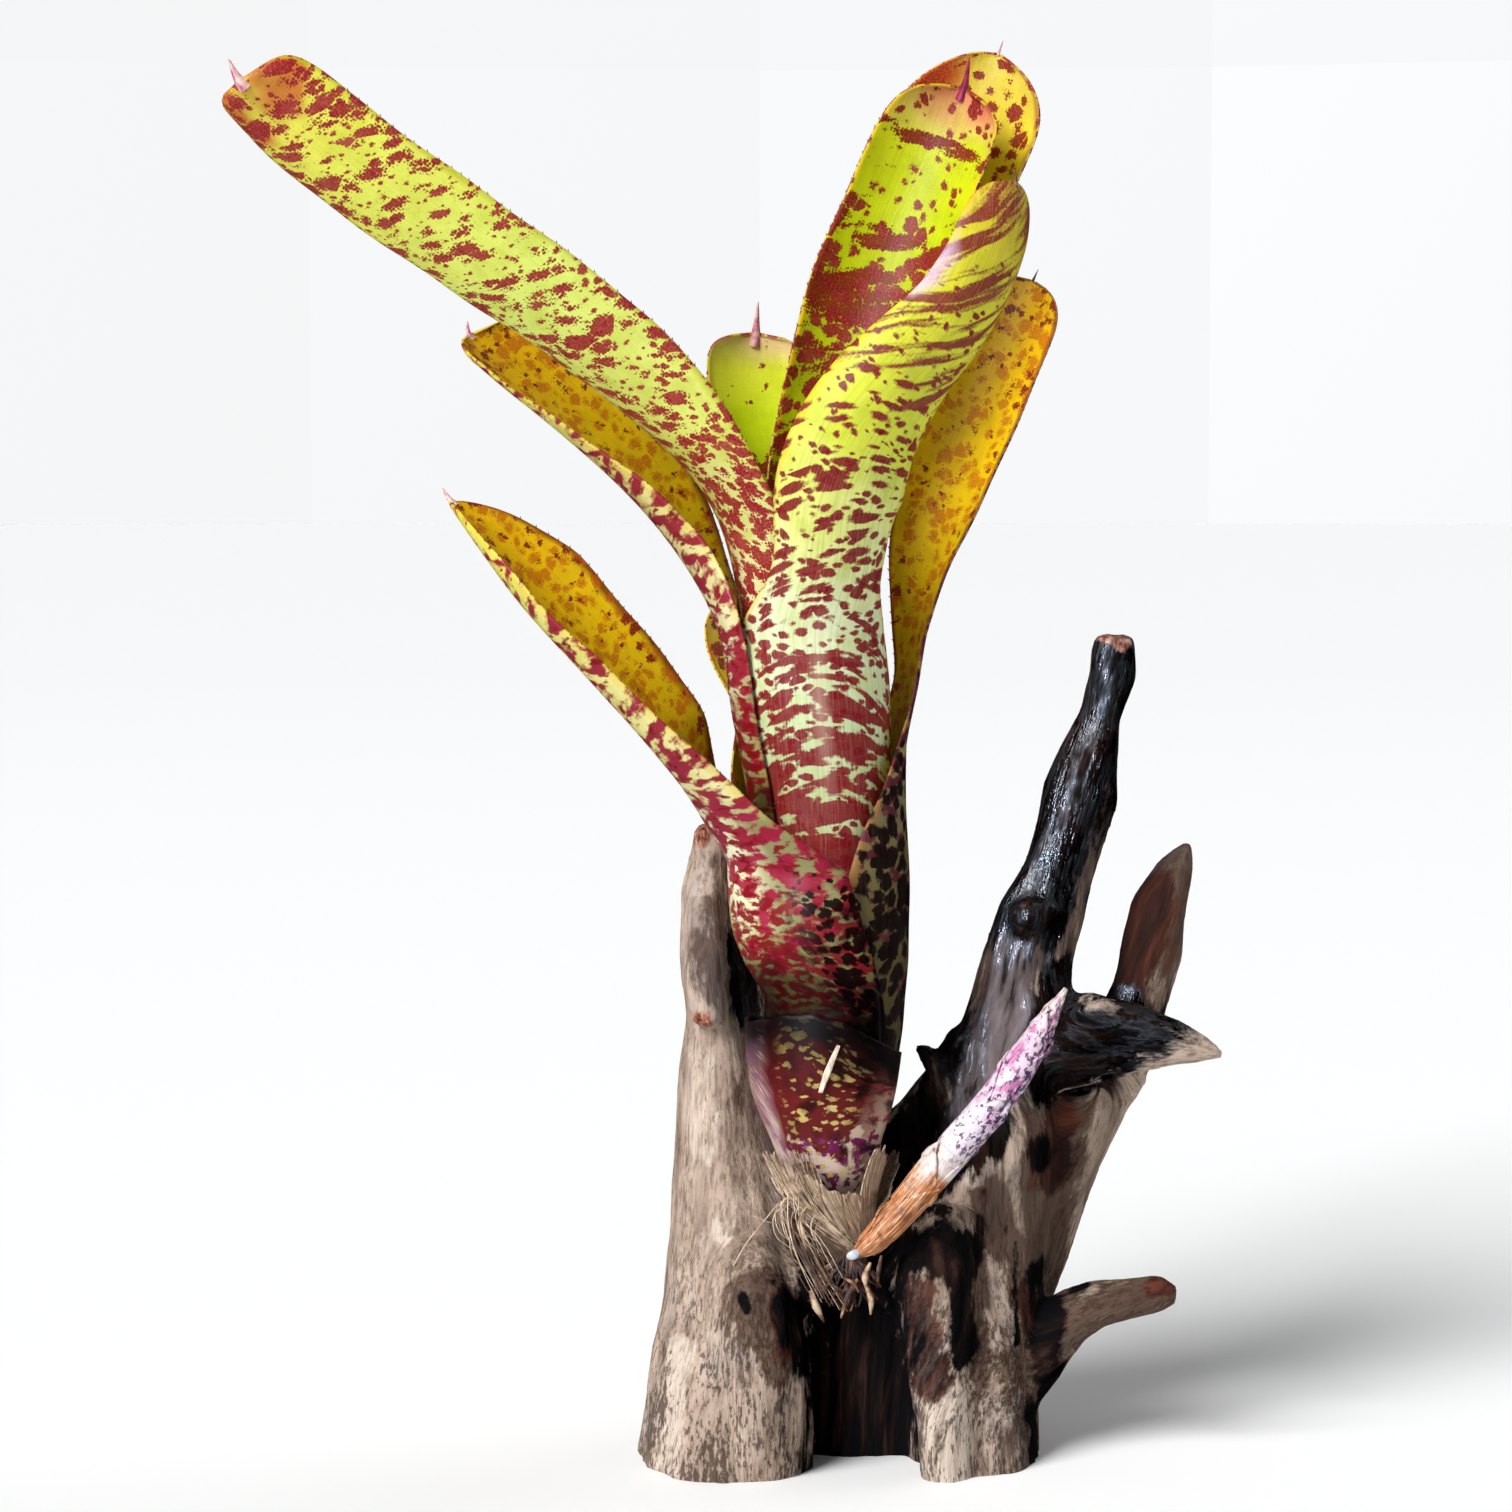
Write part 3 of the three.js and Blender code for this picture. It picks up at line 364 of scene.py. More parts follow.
dotted = wood.math("MULTIPLY_ADD", low_down, 0.07, dotted)
fleck_strength = wood.math("MULTIPLY_ADD", low_down, 0.4, 0.42)
tan = wood.mix(wood.math("MULTIPLY", wood.step(dotted, 0.54, 0.64), fleck_strength), tan, (0.05, 0.03, 0.02))
edge = wood.math(
    "MULTIPLY", wood.math("SUBTRACT", wood.noise(wood.stretch(run, (1, 1, 0.3)), 230, 6, 0.7), 0.5), 2.6
)


def stain_and_painted_light(name):
    """How strongly a stain, or a patch of painted shade or highlight, shows, with its edge broken up along
    the grain.
    """
    depth = wood.node("Attribute", attribute_name=name).outputs["Fac"]
    return wood.step(wood.math("ADD", depth, edge), 0.0, 0.3)


surface = wood.mix(
    wood.math("MULTIPLY", stain_and_painted_light("brown"), 0.8), tan, wood.mix(0.5, (0.085, 0.042, 0.025), tan, "MULTIPLY")
)
pale = wood.mix(
    wood.math("MULTIPLY", wood.step(lines, 0.45, 0.65), 0.6), (0.66, 0.55, 0.46), (0.26, 0.19, 0.14)
)
pale = wood.mix(wood.math("MULTIPLY", wood.step(dotted, 0.6, 0.68), 0.8), pale, (0.06, 0.035, 0.022))
surface = wood.mix(wood.math("MULTIPLY", stain_and_painted_light("pale"), 0.85), surface, pale)
rusty = wood.ramp(
    streaks, [(0.35, (0.012, 0.003, 0.002)), (0.5, (0.05, 0.012, 0.006)), (0.66, (0.13, 0.038, 0.02))]
)
surface = wood.mix(wood.math("MULTIPLY", stain_and_painted_light("rust"), 0.9), surface, rusty)
black = wood.ramp(
    streaks, [(0.48, (0.0014, 0.0005, 0.0004)), (0.6, (0.012, 0.004, 0.002)), (0.72, (0.055, 0.026, 0.018)),
              (0.84, (0.16, 0.1, 0.08))]
)
dark = stain_and_painted_light("dark")
surface = wood.mix(dark, surface, black)
ashen = wood.ramp(
    streaks, [(0.36, (0.24, 0.195, 0.2)), (0.5, (0.13, 0.1, 0.105)), (0.6, (0.012, 0.007, 0.008))]
)
surface = wood.mix(wood.math("MULTIPLY", stain_and_painted_light("ashen"), 0.9), surface, ashen)
broken = wood.ramp(
    flecks, [(0.36, (0.06, 0.015, 0.01)), (0.5, (0.3, 0.11, 0.07)), (0.66, (0.62, 0.36, 0.26))]
)
surface = wood.mix(stain_and_painted_light("fresh"), surface, broken)
wood.colour(surface)
high_up = wood.step(wood.node("SeparateXYZ", {0: run}).outputs["Z"], 0.055, 0.065)
wet = wood.math(
    "MULTIPLY", wood.math("MULTIPLY", dark, high_up),
    wood.step(wood.noise(wood.stretch(run, (1, 1, 0.3)), 420, 3, 0.6), 0.35, 0.55),
)
wood.give(wood.shader.inputs["Roughness"], wood.ramp(wet, [(0.2, 0.85), (1, 0.2)]))
wood.give(wood.shader.inputs["Specular IOR Level"], wood.ramp(wet, [(0, 0.1), (1, 1.0)]))
height = wood.math("ADD", wood.math("MULTIPLY", lines, 0.5), wood.math("MULTIPLY", streaks, 1.2))
wood.relief(wood.math("ADD", height, wood.math("MULTIPLY", flecks, 0.35)), 0.55 * MM)
mesh.materials.clear()
mesh.materials.append(wood.material)
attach(driftwood, "root")
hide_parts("driftwood")


# ---- Stem ----------------------------------------------------------------------------------
# The short woody stem from which every leaf springs. The sheaths hide all but its foot.

bark = Finish("stem_bark", 0.85)
place = bark.node("TexCoord").outputs["Object"]
fibre = bark.noise(bark.stretch(place, (1, 1, 0.2)), 900, 3)
bark.colour(bark.ramp(fibre, [(0.35, (0.09, 0.05, 0.03)), (0.65, (0.3, 0.19, 0.11))]))
bark.relief(fibre, 0.3 * MM)
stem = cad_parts["stem"]
stem.data.materials.clear()
stem.data.materials.append(bark.material)


# ---- Roots and dry fibres ------------------------------------------------------------------
# Wiry roots that grip the wood below the plant's foot, and among them the straw-coloured fibres
# that are left of rotted leaves. They curl out to the left of the foot and up round it.

AXIS_Y = -6
AXIS_X = [  # the tube's axis by height: it leans and bends, but stays in one plane
    (34, 3), (40, 1.4), (46, -0.2), (57, -0.2), (65, 0.2), (74, 0.6), (81, 0.9), (87, -0.5), (93, -1.5),
    (101, -1.8), (115, -2.4), (131, -3.8), (149, -5), (175, -5.2),
]
# Radius of the dry foot, by height.
DRY_RADIUS = [(34, 2.6), (36, 3.2), (38, 4.4), (41, 6), (46, 8.2), (52, 9.9), (57, 11.7), (65, 14.6)]
FOOT_FIBRES, HANGING_FIBRES, LOOPS, WIRY_ROOTS = 400, 44, 16, 46  # how many
FINE_FIBRE, COARSE_FIBRE, ROOT_RADIUS, DROP_RADIUS = 0.11, 0.13, 0.36, 0.9


def along(track, at):
    """Smooth value at a place in a track of (place, value) pairs."""
    if at <= track[0][0]:
        return track[0][1]
    if at >= track[-1][0]:
        return track[-1][1]
    i = next(k for k in range(len(track)) if track[k][0] > at) - 1

    def slope(k):
        before, after = track[max(k - 1, 0)], track[min(k + 1, len(track) - 1)]
        return (after[1] - before[1]) / (after[0] - before[0])

    (x0, y0), (x1, y1) = track[i], track[i + 1]
    h = x1 - x0
    t = (at - x0) / h
    rest = 1 - t
    return (
        y0 * (1 + 2 * t) * rest * rest
        + slope(i) * h * t * rest * rest
        + y1 * t * t * (3 - 2 * t)
        - slope(i + 1) * h * t * t * rest
    )


def round_foot(turn, z, out=0.0):
    """A place on the dry foot of the plant. turn is in degrees: 270 is in front."""
    r = along(DRY_RADIUS, z) + out
    turn = math.radians(turn)
    return Vector((along(AXIS_X, z) + r * math.cos(turn), AXIS_Y + r * math.sin(turn), z))


def strands(name, runs, radius, sides=1):
    """Many thin round strands as one piece. Each run is a list of (place, share of the radius)."""
    curve = bpy.data.curves.new(name, "CURVE")
    curve.dimensions = "3D"
    curve.bevel_depth = radius * MM
    curve.bevel_resolution = sides
    curve.resolution_u = 4
    curve.use_fill_caps = True
    for run_of_places in runs:
        spline = curve.splines.new("BEZIER")
        spline.bezier_points.add(len(run_of_places) - 1)
        for point, (at, share) in zip(spline.bezier_points, run_of_places):
            point.co = at * MM
            point.radius = share
            point.handle_left_type = point.handle_right_type = "AUTO"
    piece = bpy.data.objects.new(name, curve)
    scene.collection.objects.link(piece)
    only(piece)
    bpy.ops.object.convert(target="MESH")
    bpy.ops.object.shade_smooth()
    return bpy.context.object


draw = random.Random(7)
FIBRE_TONES = {  # share of the fibres, dark and light tone
    "pale": (0.45, (0.42, 0.3, 0.2), (0.8, 0.64, 0.48)), "tan": (0.35, (0.2, 0.12, 0.07), (0.55, 0.38, 0.25)),
    "brown": (0.2, (0.04, 0.016, 0.008), (0.17, 0.075, 0.04)),
}
hair = {tone: [] for tone in FIBRE_TONES}


def any_tone():
    return draw.choices(list(FIBRE_TONES), [share for share, _, _ in FIBRE_TONES.values()])[0]


for _ in range(FOOT_FIBRES):  # silky fibres that run down over the foot and meet in front of its end
    start, end = draw.uniform(188, 252), draw.uniform(262, 290)
    high, low = draw.uniform(45, 55) + (1.5 if start > 225 else 0), draw.uniform(36.6, 39.4)
    off, lift = draw.uniform(0.2, 0.9), draw.uniform(0, 1.3)
    wiggle = draw.uniform(-2.4, 2.4)
    hair[any_tone()].append([
        (round_foot(start + (end - start) * s**1.5 + wiggle * math.sin(s * 7), high + (low - high) * s,
                    off + lift * (1 - s) ** 3), 0.35 + 0.75 * s if s < 0.3 else 0.9)
        for s in (0, 0.15, 0.3, 0.5, 0.7, 0.86, 1)
    ])
for _ in range(HANGING_FIBRES):  # a second tress leaves the left side and hangs down over the wood
    start = draw.uniform(186, 236)
    z = draw.uniform(41, 50)
    last = Vector((draw.uniform(-3.4, 1.8), draw.uniform(-17.5, -15.5), draw.uniform(28.5, 36)))
    first = round_foot(start, z, draw.uniform(0.4, 1.6))
    middle = first.lerp(last, 0.5) + Vector(
        (draw.uniform(-2.2, 0.6), draw.uniform(-1.6, -0.4), draw.uniform(-2, 0.6))
    )
    tone = any_tone() if z > 47 else "brown"
    hair[tone].append(
        [(first, 0.8), (first.lerp(middle, 0.5) + Vector((-0.5, -0.3, -0.4)), 1), (middle, 0.9), (last, 0.4)]
    )
for _ in range(LOOPS):  # loops and curls
    start = draw.uniform(200, 262)
    z = draw.uniform(38, 47)
    first = round_foot(start, z, 0.8)
    out = Vector((math.cos(math.radians(start)), math.sin(math.radians(start)), 0))
    wide, drop = draw.uniform(1.5, 3.6), draw.uniform(3, 7)
    hair["pale" if draw.random() < 0.6 else "tan"].append([
        (first, 0.9), (first + out * 1.2 + Vector((-wide * 0.4, 0, 0.8)), 1),
        (first + out * 1.4 + Vector((-wide * 0.6, -0.4, -drop * 0.5)), 0.9),
        (first + out * 0.9 + Vector((0.4, 0, -drop)), 0.5),
    ])
hair["pale"] += [  # two stray ones
    [(Vector(at), 0.8) for at in ((-10, -15.6, 47), (-12.4, -18.6, 44.6), (-15.4, -19.6, 41),
                                  (-17.6, -19.8, 37.2))],
    [(Vector(at), 0.8) for at in ((-9.6, -15.4, 43.4), (-12, -18, 44.4), (-14.2, -19.2, 45.6))],
]
tresses = []
for tone, (share, darker, lighter) in FIBRE_TONES.items():
    tress = strands("fibres_" + tone, hair[tone], FINE_FIBRE if tone == "pale" else COARSE_FIBRE)
    straw = Finish("fibre_" + tone, 0.5)
    place = straw.node("TexCoord").outputs["Object"]
    straw.colour(straw.ramp(straw.noise(place, 420, 3), [(0.35, darker), (0.62, lighter)]))
    straw.relief(straw.noise(straw.stretch(place, (1, 1, 0.3)), 3000, 2), 0.05 * MM)
    tress.data.materials.append(straw.material)
    tresses.append(tress)
only(tresses[0])
for tress in tresses[1:]:
    tress.select_set(True)
bpy.ops.object.join()
fibres = tresses[0]
fibres.name = fibres.data.name = "dry_fibres"
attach(fibres, "root")
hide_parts("roots")

wiry = []
for i in range(WIRY_ROOTS):  # roots creep down over the wood and round its hollow
    side = draw.uniform(-1, 1)
    reach_down = draw.uniform(2.5, 8) * (1.25 - 0.5 * abs(side))
    sway = draw.uniform(-1.6, 1.6)
    run_of_root = []
    for s in (0, 0.25, 0.5, 0.75, 1):
        x = 1.8 + side * (2 + 3.6 * s) + sway * math.sin(s * 5 + i) * s
        y = -15 - math.sin(s * math.pi) * draw.uniform(0.3, 1.2)
        run_of_root.append((Vector((x, y, 37.4 - reach_down * s)), draw.uniform(0.7, 1.2) * (1 - 0.6 * s)))
    wiry.append(run_of_root)
roots = strands("roots_wiry", wiry, ROOT_RADIUS, 2)
SPLINTERS = [  # broken bits of bark and wood among the roots: middle line, size
    (((3.4, -16.4, 34.2), (1.8, -17, 31.4), (0.6, -17, 27.6)), 0.62),
    (((4.6, -16.6, 33.6), (5.6, -17.2, 31), (5.6, -17, 28.2)), 0.6),
    (((7.4, -16.4, 38.2), (7, -17, 36), (6.8, -16.6, 33.8)), 0.5),
    (((-4.6, -15.6, 32), (-3.6, -16, 29.4), (-2.2, -15.6, 26.6)), 0.7),
    (((0.6, -16.6, 34.6), (2.6, -17, 33.6), (3.6, -16.8, 32)), 0.4),
    (((5.6, -16.4, 37), (4.6, -17, 34.6), (5, -16.8, 32.6)), 0.55),
]
chips = strands("splinters", [
    [(Vector(a), 0.5 * size), (Vector(b), size), (Vector(c), 0.25 * size)] for (a, b, c), size in SPLINTERS
], 1.0, 1)
for piece, name, stops in (
    (roots, "roots", [(0.34, (0.012, 0.004, 0.003)), (0.54, (0.09, 0.03, 0.015)),
                      (0.68, (0.34, 0.17, 0.09))]),
    (chips, "splinters", [(0.38, (0.05, 0.016, 0.008)), (0.5, (0.26, 0.11, 0.05)),
                          (0.62, (0.62, 0.47, 0.32))]),
):
    root_skin = Finish(name, 0.65)
    place = root_skin.node("TexCoord").outputs["Object"]
    root_skin.colour(root_skin.ramp(root_skin.noise(place, 330, 4), stops))
    root_skin.relief(root_skin.noise(place, 1800, 3), 0.25 * MM)
    piece.data.materials.append(root_skin.material)
# A drop of the glue that holds the plant's foot to the wood. Its pale bluish-white colour is a painted
# highlight, the shine on the drop.
bpy.ops.object.select_all(action="DESELECT")
bpy.ops.mesh.primitive_uv_sphere_add(
    segments=20, ring_count=12, radius=DROP_RADIUS * MM, location=(0, 0, 0)
)
drop = bpy.context.object
drop.name = "drop_of_glue"
for vertex in drop.data.vertices:
    x, y, z = vertex.co
    vertex.co = Vector((x * 1.3 + z * 0.4 + 2.7 * MM, y * 0.7 - 16.6 * MM, z + 38.4 * MM))
only(drop)
bpy.ops.object.shade_smooth()
clear = Finish("glue", 0.12)
haze = clear.noise(clear.node("TexCoord").outputs["Object"], 700, 2)
clear.colour(clear.ramp(haze, [(0.4, (0.4, 0.43, 0.5)), (0.62, (0.66, 0.7, 0.78))]))
drop.data.materials.append(clear.material)
only(roots)
chips.select_set(True)
drop.select_set(True)
bpy.ops.object.join()
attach(roots, "root")
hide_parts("roots")


# ---- Dry scales ----------------------------------------------------------------------------
# Papery brown remains of the oldest leaves, wrapped round the foot and torn to fibres on top.
# They overlap like shingles, and the one on the right is broader and stands off.

DRY_SCALES = [  # turn of the middle, half width in turn, foot, top, stands off by
    (210, 30, 36, 49, 0.2), (243, 24, 35.5, 52, 0.4), (262, 20, 36, 50, 0.6), (283, 22, 36.5, 49, 0.3),
    (307, 13, 37, 56.5, 0.7), (336, 22, 37, 46, 0.1), (2, 28, 37, 48, 0.1), (25, 32, 37, 53, 0.5),
    (65, 32, 37, 55, 0.2), (105, 32, 37, 54, 0.6), (145, 32, 37, 53, 0.2), (178, 28, 36, 53, 0.6),
]
SCALE_THICKNESS = 0.25


def sheet(name, across, up, at):
    """A grid whose points are set by a function of v, -1 to 1 across, and s, 0 to 1 up."""
    bpy.ops.object.select_all(action="DESELECT")
    bpy.ops.mesh.primitive_grid_add(x_subdivisions=across, y_subdivisions=up, size=2)
    piece = bpy.context.object
    piece.name = piece.data.name = name
    for vertex in piece.data.vertices:
        v, s = vertex.co.x, vertex.co.y / 2 + 0.5
        vertex.co = at(v, s) * MM
    return piece


def one_piece(pieces, name):
    """Joins pieces into the first of them."""
    only(pieces[0])
    for piece in pieces[1:]:
        piece.select_set(True)
    bpy.ops.object.join()
    pieces[0].name = pieces[0].data.name = name
    return pieces[0]


scales = []
for number, (turn, half, foot, top, off) in enumerate(DRY_SCALES):

    def on_scale(v, s, turn=turn, half=half, foot=foot, top=top, off=off, number=number):
        torn = 1.5 * noise.noise(Vector((v * 3, number * 3.1, 0))) - 1.6 * v * v
        z = foot + (top + torn - foot) * s
        curl = 1.3 * max(s - 0.7, 0) ** 2 * 8
        crinkle = 0.35 * noise.noise(Vector((v * 3, s * 4, number * 7.7)))
        return round_foot(turn + v * half * (1 - 0.35 * s * s), z, 0.45 + off * s + curl * 0.5 + crinkle * s)

    scale = sheet(f"scale_{number}", 18, 22, on_scale)
    applied(scale, "SOLIDIFY", thickness=SCALE_THICKNESS * MM, offset=0)
    scales.append(scale)
dry_scales = one_piece(scales, "dry_scales_papery")
only(dry_scales)
bpy.ops.object.shade_smooth()

papery = Finish("dry_scales", 0.55)
shares = papery.node("SeparateXYZ", {0: papery.node("UVMap", uv_map="UVMap").outputs["UV"]})
leaning = papery.math("MULTIPLY_ADD", shares.outputs["Y"], 0.8, shares.outputs["X"])
run = papery.node(
    "CombineXYZ", {"X": leaning, "Y": papery.math("MULTIPLY", shares.outputs["Y"], 0.1)}
).outputs[0]
threads = papery.noise(run, 26, 3, 0.6)
blots = papery.noise(papery.node("TexCoord").outputs["Object"], 190, 3)
straw_tone = papery.ramp(
    threads, [(0.34, (0.12, 0.065, 0.04)), (0.5, (0.42, 0.29, 0.19)), (0.64, (0.7, 0.54, 0.38))]
)
papery.colour(papery.mix(papery.step(blots, 0.54, 0.68), straw_tone, (0.2, 0.11, 0.06)))
papery.relief(threads, 0.25 * MM)
dry_scales.data.materials.append(papery.material)
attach(dry_scales, "root")
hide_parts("dry_scales")


# ---- Lower left leaf -----------------------------------------------------------------------
# The outermost living leaf, a tough strap that springs from the stem, golden on its face and
# blotched with red on its back. Its lower part is a sheath with a pot belly, wrapped round the
# tube, and its blade is a channel with toothed edges.

LEAF_THICKNESS = 0.7
LAYER_PITCH = 1.3  # from one sheath to the next inside it
AIR = 0.35  # between the stem and the sheaths that spring from it
FOOT_HEIGHT = 43  # where the old sheath leaves the stem
FOOT_STEP = 4  # how much higher each next leaf leaves it
FOOT_RISE = 10  # height over which a sheath widens from the stem to its place in the tube
STEM_RADIUS = [(34, 2.6), (40, 3.4), (46, 3.4), (57, 2.8), (65, 2.2), (74, 1.6), (81, 1.2)]
SHEATH_RADIUS = [  # of layer 1, by height; layer n runs inside it by n - 1 pitches
    (40, 4.1), (46, 4.6), (57, 8.4), (65, 11.4), (74, 12.8), (81, 13.1), (87, 15), (93, 16.1), (101, 16.5),
    (115, 16.4), (131, 17.9), (149, 18.2), (175, 17.6),
]
SPINE_ROOT = 0.55  # half width of a blade at its very end
ACROSS = 30  # squares of a leaf's mesh, across and along
ALONG = 150
TOOTH_RADIUS = 0.16
TOOTH_LENGTH = 0.6
TOOTH_PITCH = 2.1  # from tooth to tooth along a margin, with the drift that makes it uneven
TOOTH_DRIFT = 0.7
SPINE_RADIUS = 0.52
SPINE_TAPER = [(-0.35, 1.4), (0, 1.1), (0.35, 0.7), (0.7, 0.4), (0.96, 0.14)]  # place, share of radius


def smooth(t):
    t = min(max(t, 0), 1)
    return t * t * (3 - 2 * t)


def axis_at(z):
    return Vector((along(AXIS_X, z), AXIS_Y, z))


def layer_radius(layer, foot, z):
    full = along(SHEATH_RADIUS, z) - (layer - 1) * LAYER_PITCH
    start = along(STEM_RADIUS, foot) + AIR + LEAF_THICKNESS / 2
    return start + (full - start) * smooth((z - foot) / FOOT_RISE)


def catmull(points, steps=60):
    """Places on a smooth curve through points, each with its length along it, and the points' lengths."""
    points = [Vector(p) for p in points]
    ends = [points[0] * 2 - points[1]] + points + [points[-1] * 2 - points[-2]]
    fine, knots = [], [0.0]
    length = 0.0
    for i in range(len(points) - 1):
        p0, p1, p2, p3 = ends[i : i + 4]
        t0, t1, t2, t3 = np.cumsum(
            [0] + [max((b - a).length, 1e-6) ** 0.5 for a, b in ((p0, p1), (p1, p2), (p2, p3))]
        )
        for k in range(steps):
            t = t1 + (t2 - t1) * k / steps
            a1 = p0.lerp(p1, (t - t0) / (t1 - t0))
            a2 = p1.lerp(p2, (t - t1) / (t2 - t1))
            a3 = p2.lerp(p3, (t - t2) / (t3 - t2))
            b1 = a1.lerp(a2, (t - t0) / (t2 - t0))
            b2 = a2.lerp(a3, (t - t1) / (t3 - t1))
            at = b1.lerp(b2, (t - t1) / (t2 - t1))
            if fine:
                length += (at - fine[-1][1]).length
            fine.append((length, at))
        knots.append(length + (points[i + 1] - fine[-1][1]).length)
    length = knots[-1]
    fine.append((length, points[-1]))
    return fine, knots


def on_curve(fine, length):
    """Place and direction at a length along a fine curve."""
    low, high = 0, len(fine) - 1
    while high - low > 1:
        middle = (low + high) // 2
        if fine[middle][0] <= length:
            low = middle
        else:
            high = middle
    (a, p), (b, q) = fine[low], fine[high]
    share = (length - a) / max(b - a, 1e-9)
    before, after = fine[max(low - 2, 0)][1], fine[min(high + 2, len(fine) - 1)][1]
    return p.lerp(q, share), (after - before).normalized()


def leaf_skin(
    name, ground, marks, veins=0.3, edge=((0.75, 0.5, 0.01), 0.5), gloss=0.42, shine=0.15, beading=1.0,
    silk=0.03, keel=None, shade=None,
):
    """Living leaf, painted by place: shares of the leaf from its foot, with its mouth at 0.5.

    ground is a list of (place, colour). Each mark is a layer of blots in three tones, beaded as the
    leaf is: density by place, size across and along in centimetres, slant and smile. margin and
    bunched crowd them at the margins and in groups, lumpy, ragged and combed roughen them, and sides
    lets them fade out to a side. keel is a pale line up the middle: half width in centimetres, first
    and last place. silk is the strength of fine pale lines along the leaf, and shade darkens by
    place."""
    skin = Finish(name, gloss)
    skin.shader.inputs["Specular IOR Level"].default_value = shine
    flat = skin.node("UVMap", uv_map="centimetres").outputs["UV"]
    share = skin.node("SeparateXYZ", {0: skin.node("UVMap", uv_map="shares").outputs["UV"]})
    place = share.outputs["Y"]
    split = skin.node("SeparateXYZ", {0: flat})
    u, v = split.outputs["X"], split.outputs["Y"]
    beads_at = {"Vector": flat, "Scale": 19.0, "Randomness": 0.7}
    beads = skin.node("TexVoronoi", beads_at, voronoi_dimensions="2D").outputs["Distance"]
    vein = skin.noise(skin.stretch(flat, (1, 0.03, 1)), 24, 2, 0.5)
    hairlines = skin.noise(skin.stretch(flat, (1, 0.02, 1)), 60, 2, 0.6)
    mottle = skin.noise(flat, 1.7, 3, 0.6)
    drift = skin.math("SUBTRACT", skin.noise(flat, 0.8, 2), 0.5)
    rim = skin.math("ABSOLUTE", skin.math("MULTIPLY_ADD", share.outputs["X"], 2, -1))

    colour = skin.ramp(skin.math("MULTIPLY_ADD", drift, 0.12, place), ground)
    colour = skin.mix(skin.step(mottle, 0.42, 0.75), colour, (0.8, 0.82, 0.5), "MULTIPLY")
    colour = skin.mix(
        skin.math("MULTIPLY", skin.step(vein, 0.46, 0.62), veins), colour, (0.6, 0.68, 0.5), "MULTIPLY"
    )
    beaded = skin.math("MULTIPLY", skin.step(beads, 0.3, 0.0), 0.3 * beading)
    colour = skin.mix(beaded, colour, (0.75, 0.8, 0.5), "MULTIPLY")
    ragged_rim = skin.math("MULTIPLY_ADD", drift, 0.25, rim)
    colour = skin.mix(skin.math("MULTIPLY", skin.step(ragged_rim, 0.88, 0.97), edge[1]), colour, edge[0])
    for number, mark in enumerate(marks):
        wide, tall = mark["size"]
        lifted = skin.math("MULTIPLY_ADD", u, mark.get("slant", 0), v)
        lifted = skin.math("MULTIPLY_ADD", skin.math("MULTIPLY", u, u), -mark.get("smile", 0), lifted)
        lifted = skin.math("MULTIPLY_ADD", drift, mark.get("sway", 0.5), lifted)
        where = skin.node(
            "CombineXYZ", {"X": skin.math("DIVIDE", u, wide), "Y": skin.math("DIVIDE", lifted, tall)}
        )
        where = skin.node(
            "VectorMath", {0: where.outputs[0], 1: (13.7 * number + mark.get("seed", 0), 5.1, 0)}
        )
        where = where.outputs[0]
        density = skin.ramp(place, mark["density"], "EASE")
        density = skin.math("MULTIPLY_ADD", skin.step(rim, 0.55, 0.95), mark.get("margin", 0), density)
        bunch = skin.math("SUBTRACT", skin.noise(where, 0.31, 1), 0.5)
        density = skin.math("MULTIPLY_ADD", bunch, mark.get("bunched", 0.5), density)
        if mark["kind"] == "spot":
            cells = skin.node("TexVoronoi", {"Vector": where, "Scale": 1.0}, voronoi_dimensions="2D")
            size = skin.node("SeparateXYZ", {0: cells.outputs["Color"]}).outputs["X"]
            even = mark.get("even", 0.3)
            size = skin.math("MULTIPLY_ADD", size, 1 - even, even)
            amount = skin.math("SUBTRACT", skin.math("MULTIPLY", density, size), cells.outputs["Distance"])
            lumps = skin.math("SUBTRACT", skin.noise(where, 2.1, 2), 0.5)
            amount = skin.math("MULTIPLY_ADD", lumps, mark.get("lumpy", 0.5), amount)
        else:
            spread = skin.noise(where, 1.0, mark.get("detail", 1), 0.5)
            amount = skin.math("ADD", skin.math("MULTIPLY_ADD", spread, 2.4, -1.7), density)
        ragged = mark.get("ragged", 0.3) * beading
        frayed = skin.math("MULTIPLY_ADD", beads, -ragged, 0.4 * ragged)
        combed = mark.get("combed", 0.1)
        frayed = skin.math("ADD", frayed, skin.math("MULTIPLY_ADD", vein, combed, -0.5 * combed))
        shown = skin.step(skin.math("ADD", amount, frayed), 0.0, mark.get("soft", 0.12))
        for side in mark.get("sides", ()):
            shown = skin.math("MULTIPLY", shown, skin.step(skin.math("MULTIPLY_ADD", drift, 0.8, u), *side))
        dark, full, light = mark["colour"]
        tone = skin.mix(
            skin.math("MULTIPLY_ADD", skin.step(beads, 0.08, 0.36), beading, 1 - beading), dark, full
        )
        paler = skin.math(
            "ADD", skin.math("MULTIPLY", skin.step(beads, 0.45, 0.9), beading), skin.step(mottle, 0.5, 0.8)
        )
        tone = skin.mix(skin.math("MULTIPLY", paler, 0.5), tone, light)
        colour = skin.mix(skin.math("MULTIPLY", shown, mark.get("strength", 0.97)), colour, tone)
    lines = skin.math("MULTIPLY", skin.step(hairlines, 0.5, 0.72), silk)
    if keel:
        middle = skin.step(skin.math("ABSOLUTE", skin.math("MULTIPLY_ADD", drift, 0.2, u)), keel[0], 0)
        length = skin.math(
            "MULTIPLY", skin.step(place, keel[1], keel[1] + 0.12), skin.step(place, keel[2], keel[2] - 0.1)
        )
        lines = skin.math("MULTIPLY_ADD", skin.math("MULTIPLY", middle, length), 0.3, lines)
